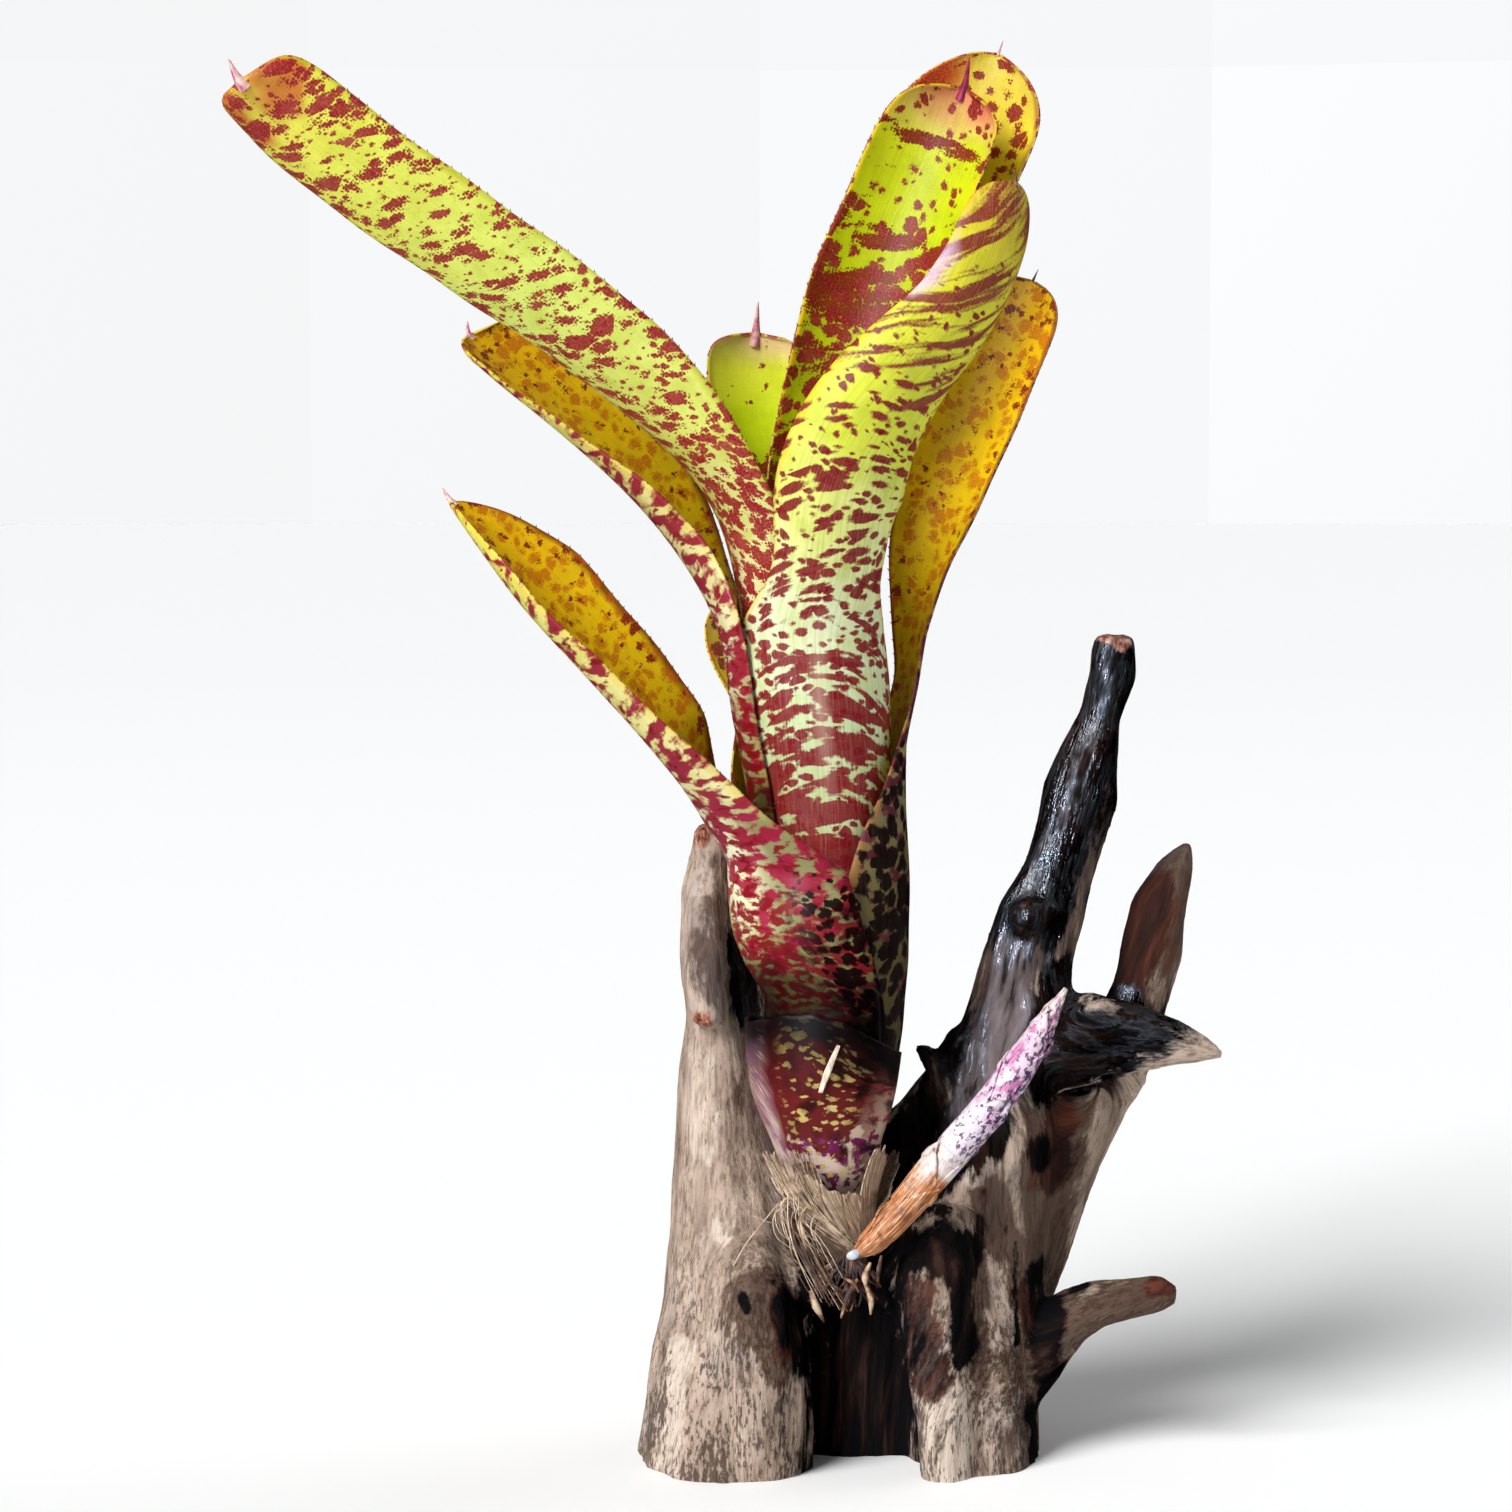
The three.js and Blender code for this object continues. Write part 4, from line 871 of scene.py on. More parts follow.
    colour = skin.mix(lines, colour, (0.88, 0.66, 0.54))
    if shade:
        colour = skin.mix(
            1.0, colour, skin.ramp(skin.math("MULTIPLY_ADD", drift, 0.2, place), shade), "MULTIPLY"
        )
    skin.colour(colour)
    skin.relief(
        skin.math("MULTIPLY_ADD", vein, veins, skin.math("MULTIPLY", beads, 0.35 * beading)), 0.12 * MM
    )
    return skin.material


bpy.ops.object.select_all(action="DESELECT")
bpy.ops.mesh.primitive_cone_add(
    vertices=5, radius1=TOOTH_RADIUS * MM, radius2=0, depth=TOOTH_LENGTH * MM, location=(0, 0, 0)
)
tooth = bpy.context.object
tooth.data.transform(Matrix.Translation((0, 0, 0.18 * MM)))  # its foot stays inside the margin
horn = Finish("leaf_teeth", 0.5)
place = horn.node("TexCoord").outputs["Object"]
horn.colour(horn.ramp(horn.noise(place, 900, 2), [(0.4, (0.05, 0.008, 0.01)), (0.6, (0.16, 0.03, 0.03))]))
spine_skin = Finish("leaf_spine", 0.4)
place = spine_skin.node("TexCoord").outputs["Object"]
spine_skin.colour(
    spine_skin.ramp(spine_skin.noise(place, 500, 2), [(0.38, (0.5, 0.09, 0.16)), (0.6, (0.82, 0.55, 0.5))])
)
spine_skin.relief(spine_skin.noise(place, 2500, 2), 0.04 * MM)
wine_spine = Finish("wine_red_spine", 0.4)
place = wine_spine.node("TexCoord").outputs["Object"]
wine_spine.colour(
    wine_spine.ramp(wine_spine.noise(place, 500, 2), [(0.38, (0.12, 0.004, 0.02)), (0.6, (0.45, 0.01, 0.1))])
)


def grow_leaf(
    name, node, inner, outer, layer, azimuth, mouth, tip, wrap, rib, spine, width, channel, face, wave=0.2,
    teeth=(0.03, 0.9), claw=1.0, claw_skin=None,
):
    """A leaf as one piece: sheath, blade, marginal teeth and end spine.

    azimuth is where its middle stands on the tube, with 270 in front, and mouth the height at which
    it leaves it. wrap is the sheath's half turn by share of its height. The midrib of the blade runs
    through rib and ends at spine. width and channel are its half width and the half angle of its
    bow, by share of its length, and face is the way that it looks at its foot and further up. tip
    is the length of the rounded end, its roundness, and the length on the other side."""
    foot = FOOT_HEIGHT + FOOT_STEP * layer
    azimuth = math.radians(azimuth)

    def on_tube(z):
        r = layer_radius(layer, foot, z)
        return axis_at(z) + Vector((math.cos(azimuth) * r, math.sin(azimuth) * r, 0))

    fine, knots = catmull([on_tube(mouth - 6), on_tube(mouth), *rib, spine])
    mouth_length, blade_length = knots[1], knots[-2] - knots[1]
    sheath_length = mouth - foot
    widths = [(0, layer_radius(layer, foot, mouth) * math.radians(wrap[-1][1])), *width]
    tip_length, roundness, other_length = (*tip, tip[0])[:3]

    def half_width(blade, v):
        past = min(max(1 - (1 - blade) * blade_length / (other_length if v < 0 else tip_length), 0), 1)
        return max(along(widths, blade) * (1 - past**roundness) ** (1 / roundness), SPINE_ROOT)

    def on_sheath(share, v):
        z = foot + (mouth - foot) * share
        r = layer_radius(layer, foot, z)
        turn = azimuth - v * math.radians(along(wrap, share))
        place = axis_at(z) + Vector((math.cos(turn) * r, math.sin(turn) * r, 0))
        return place, r * math.radians(along(wrap, share))

    def on_blade(blade, v):
        middle, way = on_curve(fine, mouth_length + blade * blade_length)
        axis = axis_at(middle.z)
        out = middle - axis
        out.z = 0
        r = out.length
        half = half_width(blade, v)
        turn = math.atan2(out.y, out.x) - v * half / r
        wrapped = Vector((math.cos(turn) * r, math.sin(turn) * r, 0)) + axis
        looks = (-out).normalized()
        faces = Vector(face[0]).lerp(Vector(face[1]), smooth(blade / 0.8)).normalized()
        looks = looks.lerp(faces, smooth(blade / 0.35))
        looks = (looks - way * looks.dot(way)).normalized()
        side = way.cross(looks)
        bend = math.radians(along(channel, blade))
        bow = half / bend
        opened = middle + looks * bow * (1 - math.cos(v * bend)) + side * bow * math.sin(v * bend)
        ripple = wave * abs(v) ** 3 * math.sin(blade * blade_length * 0.32 + (1.5 if v > 0 else 0) + layer)
        opened += looks * ripple * smooth(blade / 0.4) * min((1 - blade) * 6, 1)
        return wrapped.lerp(opened, smooth(blade / 0.3)), half

    whole = sheath_length + blade_length

    def surface(v, s):
        s = 1 - (1 - s) ** 1.2  # rows lie closer towards the tip
        length = s * whole
        if length < sheath_length:
            return *on_sheath(length / sheath_length, v), length, 0.5 * length / sheath_length
        blade = (length - sheath_length) / blade_length
        return *on_blade(blade, v), length, 0.5 + 0.5 * blade

    leaf = sheet(name, ACROSS, ALONG, lambda v, s: surface(v, s)[0])
    shape = leaf.data
    rows = {}
    for k, vertex in enumerate(shape.vertices):
        v, s = (k % (ACROSS + 1)) / ACROSS * 2 - 1, (k // (ACROSS + 1)) / ALONG
        rows[k] = (v, *surface(v, s)[1:])
    flat = shape.uv_layers[0]
    flat.name = "centimetres"
    shares = shape.uv_layers.new(name="shares")
    for loop in shape.loops:
        v, half, length, place_on_leaf = rows[loop.vertex_index]
        flat.data[loop.index].uv = (v * half / 10, length / 10)
        shares.data[loop.index].uv = (v / 2 + 0.5, place_on_leaf)
    body = leaf.vertex_groups.new(name="body")  # the leaf thins towards its margins
    for k, row in rows.items():
        body.add([k], 1 - 0.75 * abs(row[0]) ** 6, "REPLACE")
    shape.materials.append(inner)
    shape.materials.append(outer)
    applied(
        leaf, "SOLIDIFY", thickness=LEAF_THICKNESS * MM, offset=0, use_rim=True, material_offset=1,
        material_offset_rim=1, vertex_group="body", thickness_vertex_group=0.3,
    )

    teeth_mesh = bmesh.new()
    for edge_side in (-1, 1):
        length = teeth[0] * blade_length
        while length < teeth[1] * blade_length:
            blade = length / blade_length
            at = on_blade(blade, edge_side)[0]
            outwards = (at - on_blade(blade, edge_side * 0.9)[0]).normalized()
            forwards = (on_blade(min(blade + 0.01, 1), edge_side)[0] - at).normalized()
            points_to = (outwards + forwards * 0.7).normalized()
            count = len(teeth_mesh.verts)
            teeth_mesh.from_mesh(tooth.data)
            turn = points_to.to_track_quat("Z", "Y").to_matrix().to_4x4()
            bmesh.ops.transform(
                teeth_mesh, matrix=Matrix.Translation(at * MM) @ turn, verts=teeth_mesh.verts[count:]
            )
            length += TOOTH_PITCH + TOOTH_DRIFT * math.sin(length * 5.3 + edge_side)
    jagged = bpy.data.meshes.new(name + "_teeth")
    teeth_mesh.to_mesh(jagged)
    teeth_mesh.free()
    jagged.materials.append(horn.material)
    edging = bpy.data.objects.new(name + "_teeth", jagged)
    scene.collection.objects.link(edging)

    end = knots[-1] - mouth_length - blade_length
    spine_run = []
    for share, size in SPINE_TAPER:
        at = on_curve(fine, mouth_length + blade_length + end * share)[0]
        spine_run.append((at, size))
    hook = strands(name + "_claw", [spine_run], SPINE_RADIUS * claw, 3)
    hook.data.materials.append(claw_skin or spine_skin.material)

    leaf = one_piece([leaf, edging, hook], name)
    only(leaf)
    bpy.ops.object.shade_smooth()
    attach(leaf, "root")
    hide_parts(node)


BRICK = ((0.13, 0.003, 0.003), (0.27, 0.014, 0.009), (0.42, 0.08, 0.045))
BRICK_RED = ((0.19, 0.004, 0.008), (0.34, 0.018, 0.022), (0.5, 0.1, 0.075))
CRIMSON = ((0.1, 0.0, 0.002), (0.22, 0.003, 0.009), (0.34, 0.026, 0.03))
MAGENTA = ((0.15, 0.0, 0.016), (0.31, 0.001, 0.03), (0.48, 0.03, 0.13))
RUST = ((0.3, 0.03, 0.003), (0.46, 0.075, 0.004), (0.6, 0.19, 0.008))
BLACK_RED = ((0.001, 0.0, 0.0), (0.006, 0.0, 0.0), (0.03, 0.004, 0.004))
golden = leaf_skin(
    "golden_face",
    [(0, (0.24, 0.2, 0.01)), (0.5, (0.5, 0.38, 0.004)), (0.62, (0.64, 0.44, 0.003)),
     (0.8, (0.76, 0.5, 0.003)), (1, (0.78, 0.44, 0.004))],
    [
        {"kind": "spot", "colour": RUST, "size": (0.24, 0.24), "density": [(0.4, 0.6), (0.7, 0.7), (1, 0.76)],
         "strength": 0.7, "soft": 0.3, "lumpy": 0.8},
        {"kind": "blot", "colour": ((0.3, 0.14, 0.002), (0.42, 0.2, 0.002), (0.6, 0.3, 0.004)),
         "size": (0.7, 1.1), "density": [(0.4, 0.7), (0.7, 0.4), (1, 0.4)], "strength": 0.25, "soft": 0.6,
         "seed": 9},
        {"kind": "spot", "colour": ((0.1, 0.004, 0.002), (0.22, 0.022, 0.005), (0.36, 0.08, 0.015)),
         "size": (0.3, 0.3), "margin": 0.3, "bunched": 0.6, "lumpy": 0.9,
         "density": [(0.4, 0.2), (0.8, 0.14), (0.93, 0.24), (1, 0.4)], "seed": 3, "soft": 0.14},
    ],
    veins=0.15, edge=((0.16, 0.01, 0.006), 0.85), shine=0.06,
)
belly = leaf_skin(
    "lower_left_back",
    [(0, (0.1, 0.1, 0.03)), (0.32, (0.26, 0.26, 0.07)), (0.4, (0.52, 0.5, 0.24)), (0.46, (0.84, 0.8, 0.56)),
     (0.52, (0.86, 0.84, 0.62)), (0.62, (0.85, 0.78, 0.36)), (1, (0.8, 0.7, 0.08))],
    [
        # Painted shade: a dark olive wash over the belly's right side, away from the sun, on the leaf's own
        # olive.
        {"kind": "blot", "colour": ((0.09, 0.08, 0.02), (0.2, 0.19, 0.06), (0.3, 0.28, 0.1)), "size": (3, 3),
         "soft": 0.4, "density": [(0, 1), (0.5, 1), (0.58, 0.5), (0.62, 0)], "sides": [(-0.5, -1.3)],
         "strength": 0.9},
        {"kind": "blot", "colour": MAGENTA, "size": (0.42, 0.22), "slant": 0.05, "sway": 0.5, "detail": 3,
         "ragged": 0.15, "soft": 0.2, "density": [(0, 0.7), (0.3, 0.5), (0.42, 0.5), (0.5, 0.7), (0.6, 0.64),
                                                  (0.72, 0.6), (0.85, 0.5), (1, 0.42)]},
        {"kind": "blot", "colour": CRIMSON, "size": (0.3, 0.13), "slant": 0.06, "sway": 0.5, "seed": 5,
         "detail": 3, "ragged": 0.15, "soft": 0.2,
         "density": [(0.1, 0.7), (0.36, 0.66), (0.44, 0.6), (0.5, 0.4), (0.6, 0.3), (1, 0.3)]},
        {"kind": "blot", "colour": BLACK_RED, "size": (0.5, 0.4), "seed": 2, "detail": 3, "ragged": 0.1,
         "soft": 0.5, "density": [(0, 0.8), (0.42, 0.62), (0.5, 0.4), (0.56, 0)], "sides": [(-1.1, -1.8)],
         "strength": 0.8},
        {"kind": "spot", "colour": BLACK_RED, "size": (0.22, 0.18), "seed": 7, "even": 0.4, "lumpy": 0.9,
         "ragged": 0.1, "density": [(0, 1.1), (0.3, 0.8), (0.46, 0.6), (0.5, 0.2), (0.54, 0)],
         "sides": [(-1.1, -1.7)]},
    ],
    veins=0.05, silk=0, gloss=0.3, shine=0.3, beading=0.2,
    # Painted shadow: the ground and this ramp take the sheath to near black low down, under the bulge of the
    # lower left leaf's belly where it meets the old sheath.
    shade=[(0.27, 0.02), (0.33, 0.3), (0.37, 0.8), (0.41, 1)],
)
grow_leaf(
    "lower_left_leaf", "leaf_lower_left", golden, belly, layer=1, azimuth=199, mouth=104, tip=(20, 1.5),
    wrap=[(0, 125), (0.3, 112), (0.7, 98), (0.9, 88), (1, 82)],
    rib=[
        (-22.4, -11.5, 112), (-31, -14, 124.6), (-40.4, -15, 136), (-50.2, -14.5, 147.4), (-59.2, -13, 158.6),
        (-64.8, -11.4, 165.2),
    ],
    spine=(-66.4, -11, 167.6), width=[(0.12, 17), (0.35, 15.2), (0.6, 14.6), (1, 12.4)],
    channel=[(0, 70), (0.3, 64), (1, 56)], face=[(0.8, -0.1, 0.55), (0.6, -0.38, 0.7)],
)


# ---- Old sheath ----------------------------------------------------------------------------
# The oldest leaf, of which only the blood-red sheath is left. It clasps the front of the tube's
# foot outside all other leaves, and its rim is dry and uneven.

OLD_SHEATH_RADIUS = [(40, 4.6), (46, 6.2), (57, 10.4), (65, 13.4), (74, 14.7), (81, 15.2)]
OLD_SHEATH_SHIFT = [(40, 0), (46, -0.2), (57, -0.6), (65, -1.1), (74, -1.2), (81, -1.3)]
OLD_SHEATH_TURN = math.radians(228)
OLD_SHEATH_HALF = math.radians(92)
OLD_SHEATH_TOP = 79
OLD_SHEATH_ROUND, OLD_SHEATH_TALL = 4.2, 3.7  # of its flat map, in centimetres
FLAKE_THICKNESS = 0.3


def on_old_sheath(v, s):
    place_up = FOOT_HEIGHT + (OLD_SHEATH_TOP - FOOT_HEIGHT) * s
    dip = 5 * v * v + 1.2 * math.sin(5 * v) + 0.5 * noise.noise(Vector((v * 9, 0, 0)))
    z = place_up - dip * smooth((place_up - 65) / 10)
    r = along(OLD_SHEATH_RADIUS, z)
    start = along(STEM_RADIUS, FOOT_HEIGHT) + AIR + LEAF_THICKNESS / 2
    r = start + (r - start) * smooth((z - FOOT_HEIGHT) / FOOT_RISE)
    turn = OLD_SHEATH_TURN - v * OLD_SHEATH_HALF
    return axis_at(z) + Vector((math.cos(turn) * r + along(OLD_SHEATH_SHIFT, z), math.sin(turn) * r, 0))


# The sheath darkens towards its rim, and the shade ramp takes its top to near black: painted shadow under the
# belly of the lower left leaf, which bulges over the rim.
old_skin = leaf_skin(
    "old_sheath",
    [(0, (0.66, 0.52, 0.46)), (0.3, (0.66, 0.5, 0.46)), (0.45, (0.6, 0.44, 0.36)), (0.7, (0.3, 0.16, 0.1)),
     (1, (0.12, 0.05, 0.03))],
    [
        {"kind": "blot", "colour": ((0.13, 0.03, 0.08), (0.24, 0.09, 0.15), (0.4, 0.22, 0.28)),
         "size": (0.5, 0.5), "detail": 3, "density": [(0, 0.4), (0.3, 0.8), (1, 1)], "sides": [(-0.05, 0.25)],
         "soft": 0.6},
        {"kind": "blot", "colour": ((0.5, 0.34, 0.34), (0.62, 0.48, 0.45), (0.8, 0.7, 0.64)),
         "size": (0.36, 0.08), "slant": -0.9, "density": [(0, 0.62), (0.5, 0.44), (0.9, 0.36)], "detail": 2,
         "sides": [(0.0, 0.3)], "soft": 0.4, "seed": 30},
        {"kind": "blot", "colour": ((0.02, 0.0, 0.001), (0.12, 0.0005, 0.003), (0.22, 0.006, 0.01)),
         "size": (0.5, 0.34), "density": [(0.1, 0.1), (0.26, 0.42), (0.42, 0.8), (0.6, 1.3), (1, 1.5)],
         "detail": 3, "sway": 1, "sides": [(0.32, 0.1), (-2, -1.5)]},
        {"kind": "blot", "colour": ((0.12, 0.002, 0.01), (0.24, 0.01, 0.03), (0.4, 0.08, 0.1)),
         "size": (0.3, 0.3), "seed": 18, "density": [(0.1, 0.2), (0.4, 0.4), (1, 0.5)], "detail": 3,
         "sides": [(-1.5, -1.8)]},
        {"kind": "blot", "colour": ((0.06, 0.002, 0.03), (0.15, 0.006, 0.075), (0.32, 0.1, 0.22)),
         "size": (0.3, 0.16), "density": [(0.06, 0.4), (0.22, 0.52), (0.38, 0.5), (0.52, 0)], "seed": 4,
         "detail": 3, "sides": [(0.2, -0.1)]},
        {"kind": "spot", "colour": ((0.36, 0.26, 0.03), (0.56, 0.42, 0.12), (0.72, 0.62, 0.34)),
         "size": (0.26, 0.15), "seed": 5,
         "density": [(0.2, 0.34), (0.4, 0.38), (0.7, 0.44), (0.85, 0.5), (1, 0.5)], "bunched": 1.2,
         "lumpy": 1.2, "even": 0.2, "sides": [(0.05, -0.3), (-1.6, -1.2)]},
        {"kind": "blot", "colour": BLACK_RED, "size": (0.3, 0.3), "seed": 6, "detail": 3,
         "density": [(0.2, 0.3), (0.5, 0.46), (0.8, 0.66)], "sides": [(0.3, -0.8)], "soft": 0.4,
         "strength": 0.85},
    ],
    veins=0.04, silk=0, gloss=0.45, shine=0.15, beading=0.15, edge=((0.2, 0.1, 0.03), 0.3),
    # Painted shadow under the belly, at the top of the sheath.
    shade=[(0.62, 1), (0.8, 0.5), (0.94, 0.05)],
)
old_sheath = sheet("old_sheath_clasping", 40, 50, on_old_sheath)
shape = old_sheath.data
shape.uv_layers[0].name = "centimetres"
shares = shape.uv_layers.new(name="shares")
for loop in shape.loops:
    across_share, up_share = shape.uv_layers["centimetres"].data[loop.index].uv
    shares.data[loop.index].uv = (across_share, up_share)
    flat_place = ((across_share - 0.5) * OLD_SHEATH_ROUND, up_share * OLD_SHEATH_TALL)
    shape.uv_layers["centimetres"].data[loop.index].uv = flat_place
shape.materials.append(old_skin)
applied(old_sheath, "SOLIDIFY", thickness=LEAF_THICKNESS * MM, offset=0)


def on_flake(v, s):
    """A dry flake that sticks to the sheath, a little curled."""
    at = on_old_sheath(-0.36 - 0.12 * s + 0.02 * v * (1.3 - 0.6 * abs(2 * s - 0.8)), 0.66 + 0.235 * s)
    return at + Vector((0, -0.75 - 0.5 * (2 * s - 1) ** 2, 0))


flake = sheet("flake", 4, 14, on_flake)
applied(flake, "SOLIDIFY", thickness=FLAKE_THICKNESS * MM, offset=0)
pale_straw = Finish("dry_flake", 0.6)
place = pale_straw.node("TexCoord").outputs["Object"]
chaff = pale_straw.noise(pale_straw.stretch(place, (1, 1, 0.2)), 1500, 2)
pale_straw.colour(pale_straw.ramp(chaff, [(0.4, (0.5, 0.38, 0.26)), (0.6, (0.82, 0.72, 0.58))]))
flake.data.materials.append(pale_straw.material)
old_sheath = one_piece([old_sheath, flake], "old_sheath_clasping")
only(old_sheath)
bpy.ops.object.shade_smooth()
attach(old_sheath, "root")
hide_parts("old_sheath")


# ---- Left back leaf and right leaf ---------------------------------------------------------
# The next two leaves. The first is short and stands behind the tube on its left. The second is
# folded to a narrow waist at its mouth and opens to a golden strap on the right.

# The dark olive ground, darker towards the foot, is partly the sheath's own colour and partly painted shade:
# it stands on the right of the tube, away from the sun.
leopard = leaf_skin(
    "right_leaf_back",
    [(0, (0.07, 0.05, 0.015)), (0.3, (0.14, 0.11, 0.04)), (0.42, (0.22, 0.17, 0.08)),
     (0.52, (0.4, 0.3, 0.16)), (0.6, (0.5, 0.3, 0.04)), (1, (0.5, 0.32, 0.006))],
    [
        {"kind": "blot", "colour": ((0.04, 0.004, 0.01), (0.1, 0.01, 0.02), (0.2, 0.05, 0.07)),
         "size": (0.5, 0.3), "seed": 1, "density": [(0.1, 0.24), (0.36, 0.44), (0.56, 0.7), (1, 0.3)],
         "detail": 3},
        {"kind": "spot", "colour": BLACK_RED, "size": (0.3, 0.32), "lumpy": 0.7, "ragged": 0.1,
         "density": [(0, 0.86), (0.3, 0.74), (0.45, 0.6), (0.56, 0.3), (1, 0.2)], "even": 0.6,
         "bunched": 0.3},
    ],
    beading=0.3, veins=0.06, edge=((0.3, 0.12, 0.03), 0.7),
)
plain_back = leaf_skin(
    "plain_back",
    [(0, (0.2, 0.2, 0.04)), (0.5, (0.5, 0.5, 0.14)), (1, (0.7, 0.5, 0.01))],
    [{"kind": "blot", "colour": CRIMSON, "size": (0.5, 0.26), "density": [(0, 0.6), (0.5, 0.5), (1, 0.35)]}],
)
yellow = leaf_skin(
    "yellow_face",
    [(0, (0.5, 0.42, 0.01)), (0.6, (0.78, 0.6, 0.004)), (0.9, (0.84, 0.66, 0.006)),
     (0.985, (0.8, 0.62, 0.08))],
    [
        {"kind": "spot", "colour": BRICK, "size": (0.36, 0.3), "lumpy": 0.8,
         "density": [(0.4, 0.2), (0.8, 0.4), (0.9, 0.66), (1, 0.6)]},
        {"kind": "blot", "colour": ((0.4, 0.02, 0.01), (0.6, 0.07, 0.015), (0.72, 0.26, 0.05)),
         "size": (0.9, 0.7), "sides": [(-0.35, -0.7)], "density": [(0.8, 0), (0.93, 1)], "soft": 0.4},
    ],
    veins=0.15, edge=((0.3, 0.05, 0.01), 0.7),
)
grow_leaf(
    "left_back_leaf", "leaf_left_back", yellow, plain_back, layer=2, azimuth=132, mouth=117, tip=(9, 2),
    wrap=[(0, 105), (0.3, 88), (0.7, 66), (1, 46)],
    rib=[(-12.4, 10.4, 128), (-16.6, 12.4, 137.4), (-21.2, 13.4, 146)],
    spine=(-23.8, 13.6, 150.2), width=[(0.3, 8.2), (0.65, 7.4), (1, 6.4)],
    channel=[(0, 56), (0.5, 48), (1, 42)], face=[(0.5, -0.8, 0.2), (0.35, -0.85, 0.4)], claw=0.45,
    claw_skin=horn.material,
)
grow_leaf(
    "right_leaf", "leaf_right", golden, leopard, layer=3, azimuth=14, mouth=124, tip=(8, 2.4),
    wrap=[(0, 115), (0.3, 106), (0.6, 96), (0.78, 80), (0.9, 58), (1, 40)],
    rib=[
        (13.2, -1.4, 135), (14.2, 1, 144), (16.2, 4, 155), (20.4, 7.4, 169), (25.4, 9.4, 182.5),
        (30.4, 10, 194), (34, 9.8, 203),
    ],
    spine=(35, 9.6, 205.2), width=[(0.1, 6.6), (0.22, 5.6), (0.45, 8.4), (0.7, 9.2), (1, 8.2)],
    channel=[(0, 48), (0.3, 42), (1, 32)], face=[(-0.8, -0.5, 0), (-0.35, -0.92, 0.2)], claw=0.5,
    claw_skin=horn.material,
)


# ---- Left leaf and front leaf --------------------------------------------------------------
# The left leaf shows its golden face. The front leaf's sheath is the front of the tube, mint
# green with crimson bands over a pale keel, and its blade turns its striped back to the front.

grow_leaf(
    "left_leaf", "leaf_left", golden, belly, layer=4, azimuth=174, mouth=138, tip=(12, 2.4, 5),
    wrap=[(0, 110), (0.3, 86), (0.5, 66), (0.7, 52), (1, 48)],
    rib=[
        (-21.2, -5, 146.8), (-28.2, -3, 158.6), (-37.6, -0.6, 170.6), (-47.4, 1, 180.4), (-57, 1.5, 188.4),
        (-62.6, 1.6, 193.4),
    ],
    spine=(-63, 1.7, 196), width=[(0.2, 12.2), (0.5, 12.8), (0.8, 11.6), (1, 9.6)],
    channel=[(0, 52), (0.3, 62), (0.6, 66), (1, 50)], face=[(0.8, 0.1, 0.55), (0.42, -0.6, 0.66)],
)
tube_front = leaf_skin(
    "front_leaf_back",
    [(0, (0.2, 0.22, 0.06)), (0.15, (0.5, 0.55, 0.26)), (0.4, (0.62, 0.72, 0.42)), (0.52, (0.76, 0.82, 0.54)),
     (0.6, (0.78, 0.82, 0.3)), (0.7, (0.7, 0.76, 0.06)), (0.86, (0.72, 0.7, 0.03)), (1, (0.66, 0.5, 0.03))],
    [
        {"kind": "blot", "colour": CRIMSON, "size": (0.8, 0.26), "smile": -0.3, "combed": 0.2, "sway": 0.35,
         "detail": 2, "density": [(0, 1), (0.22, 0.76), (0.34, 0.66), (0.42, 0.58), (0.5, 0.43), (0.56, 0.24),
                                  (0.58, 0)], "ragged": 0.15},
        {"kind": "spot", "colour": CRIMSON, "size": (0.3, 0.2), "seed": 2, "combed": 0.1, "ragged": 0.15,
         "density": [(0, 0.6), (0.4, 0.56), (0.54, 0.56), (0.7, 0.4), (1, 0.2)]},
        {"kind": "spot", "colour": CRIMSON, "size": (0.62, 0.24), "slant": 0.25, "smile": -0.22, "sway": 0.2,
         "seed": 4, "lumpy": 0.5, "density": [(0.5, 0), (0.54, 0.5), (0.74, 0.52), (0.82, 0.3), (0.84, 0)],
         "ragged": 0.15, "bunched": 0.3, "even": 0.2},
        {"kind": "blot", "colour": ((0.12, 0.006, 0.008), (0.23, 0.026, 0.016), (0.36, 0.1, 0.04)),
         "size": (1.1, 0.3), "slant": 1.1, "sway": 0.3,
         "density": [(0.7, 0), (0.78, 0.54), (0.9, 0.62), (1, 0.68)], "soft": 0.25, "detail": 2},
        # Painted highlight: a lavender-pink sheen along the blade's curled left margin towards its tip.
        {"kind": "blot", "colour": ((0.6, 0.3, 0.4), (0.75, 0.5, 0.66), (0.85, 0.75, 0.86)),
         "size": (0.4, 1.2), "seed": 11, "density": [(0.74, 0), (0.8, 0.6), (0.93, 0.8), (1, 0.2)],
         "sides": [(0.8, 1.1)], "soft": 0.5, "strength": 0.75},
    ],
    veins=0.35, silk=0.12, keel=(0.22, 0.3, 0.54), beading=0.5,
)
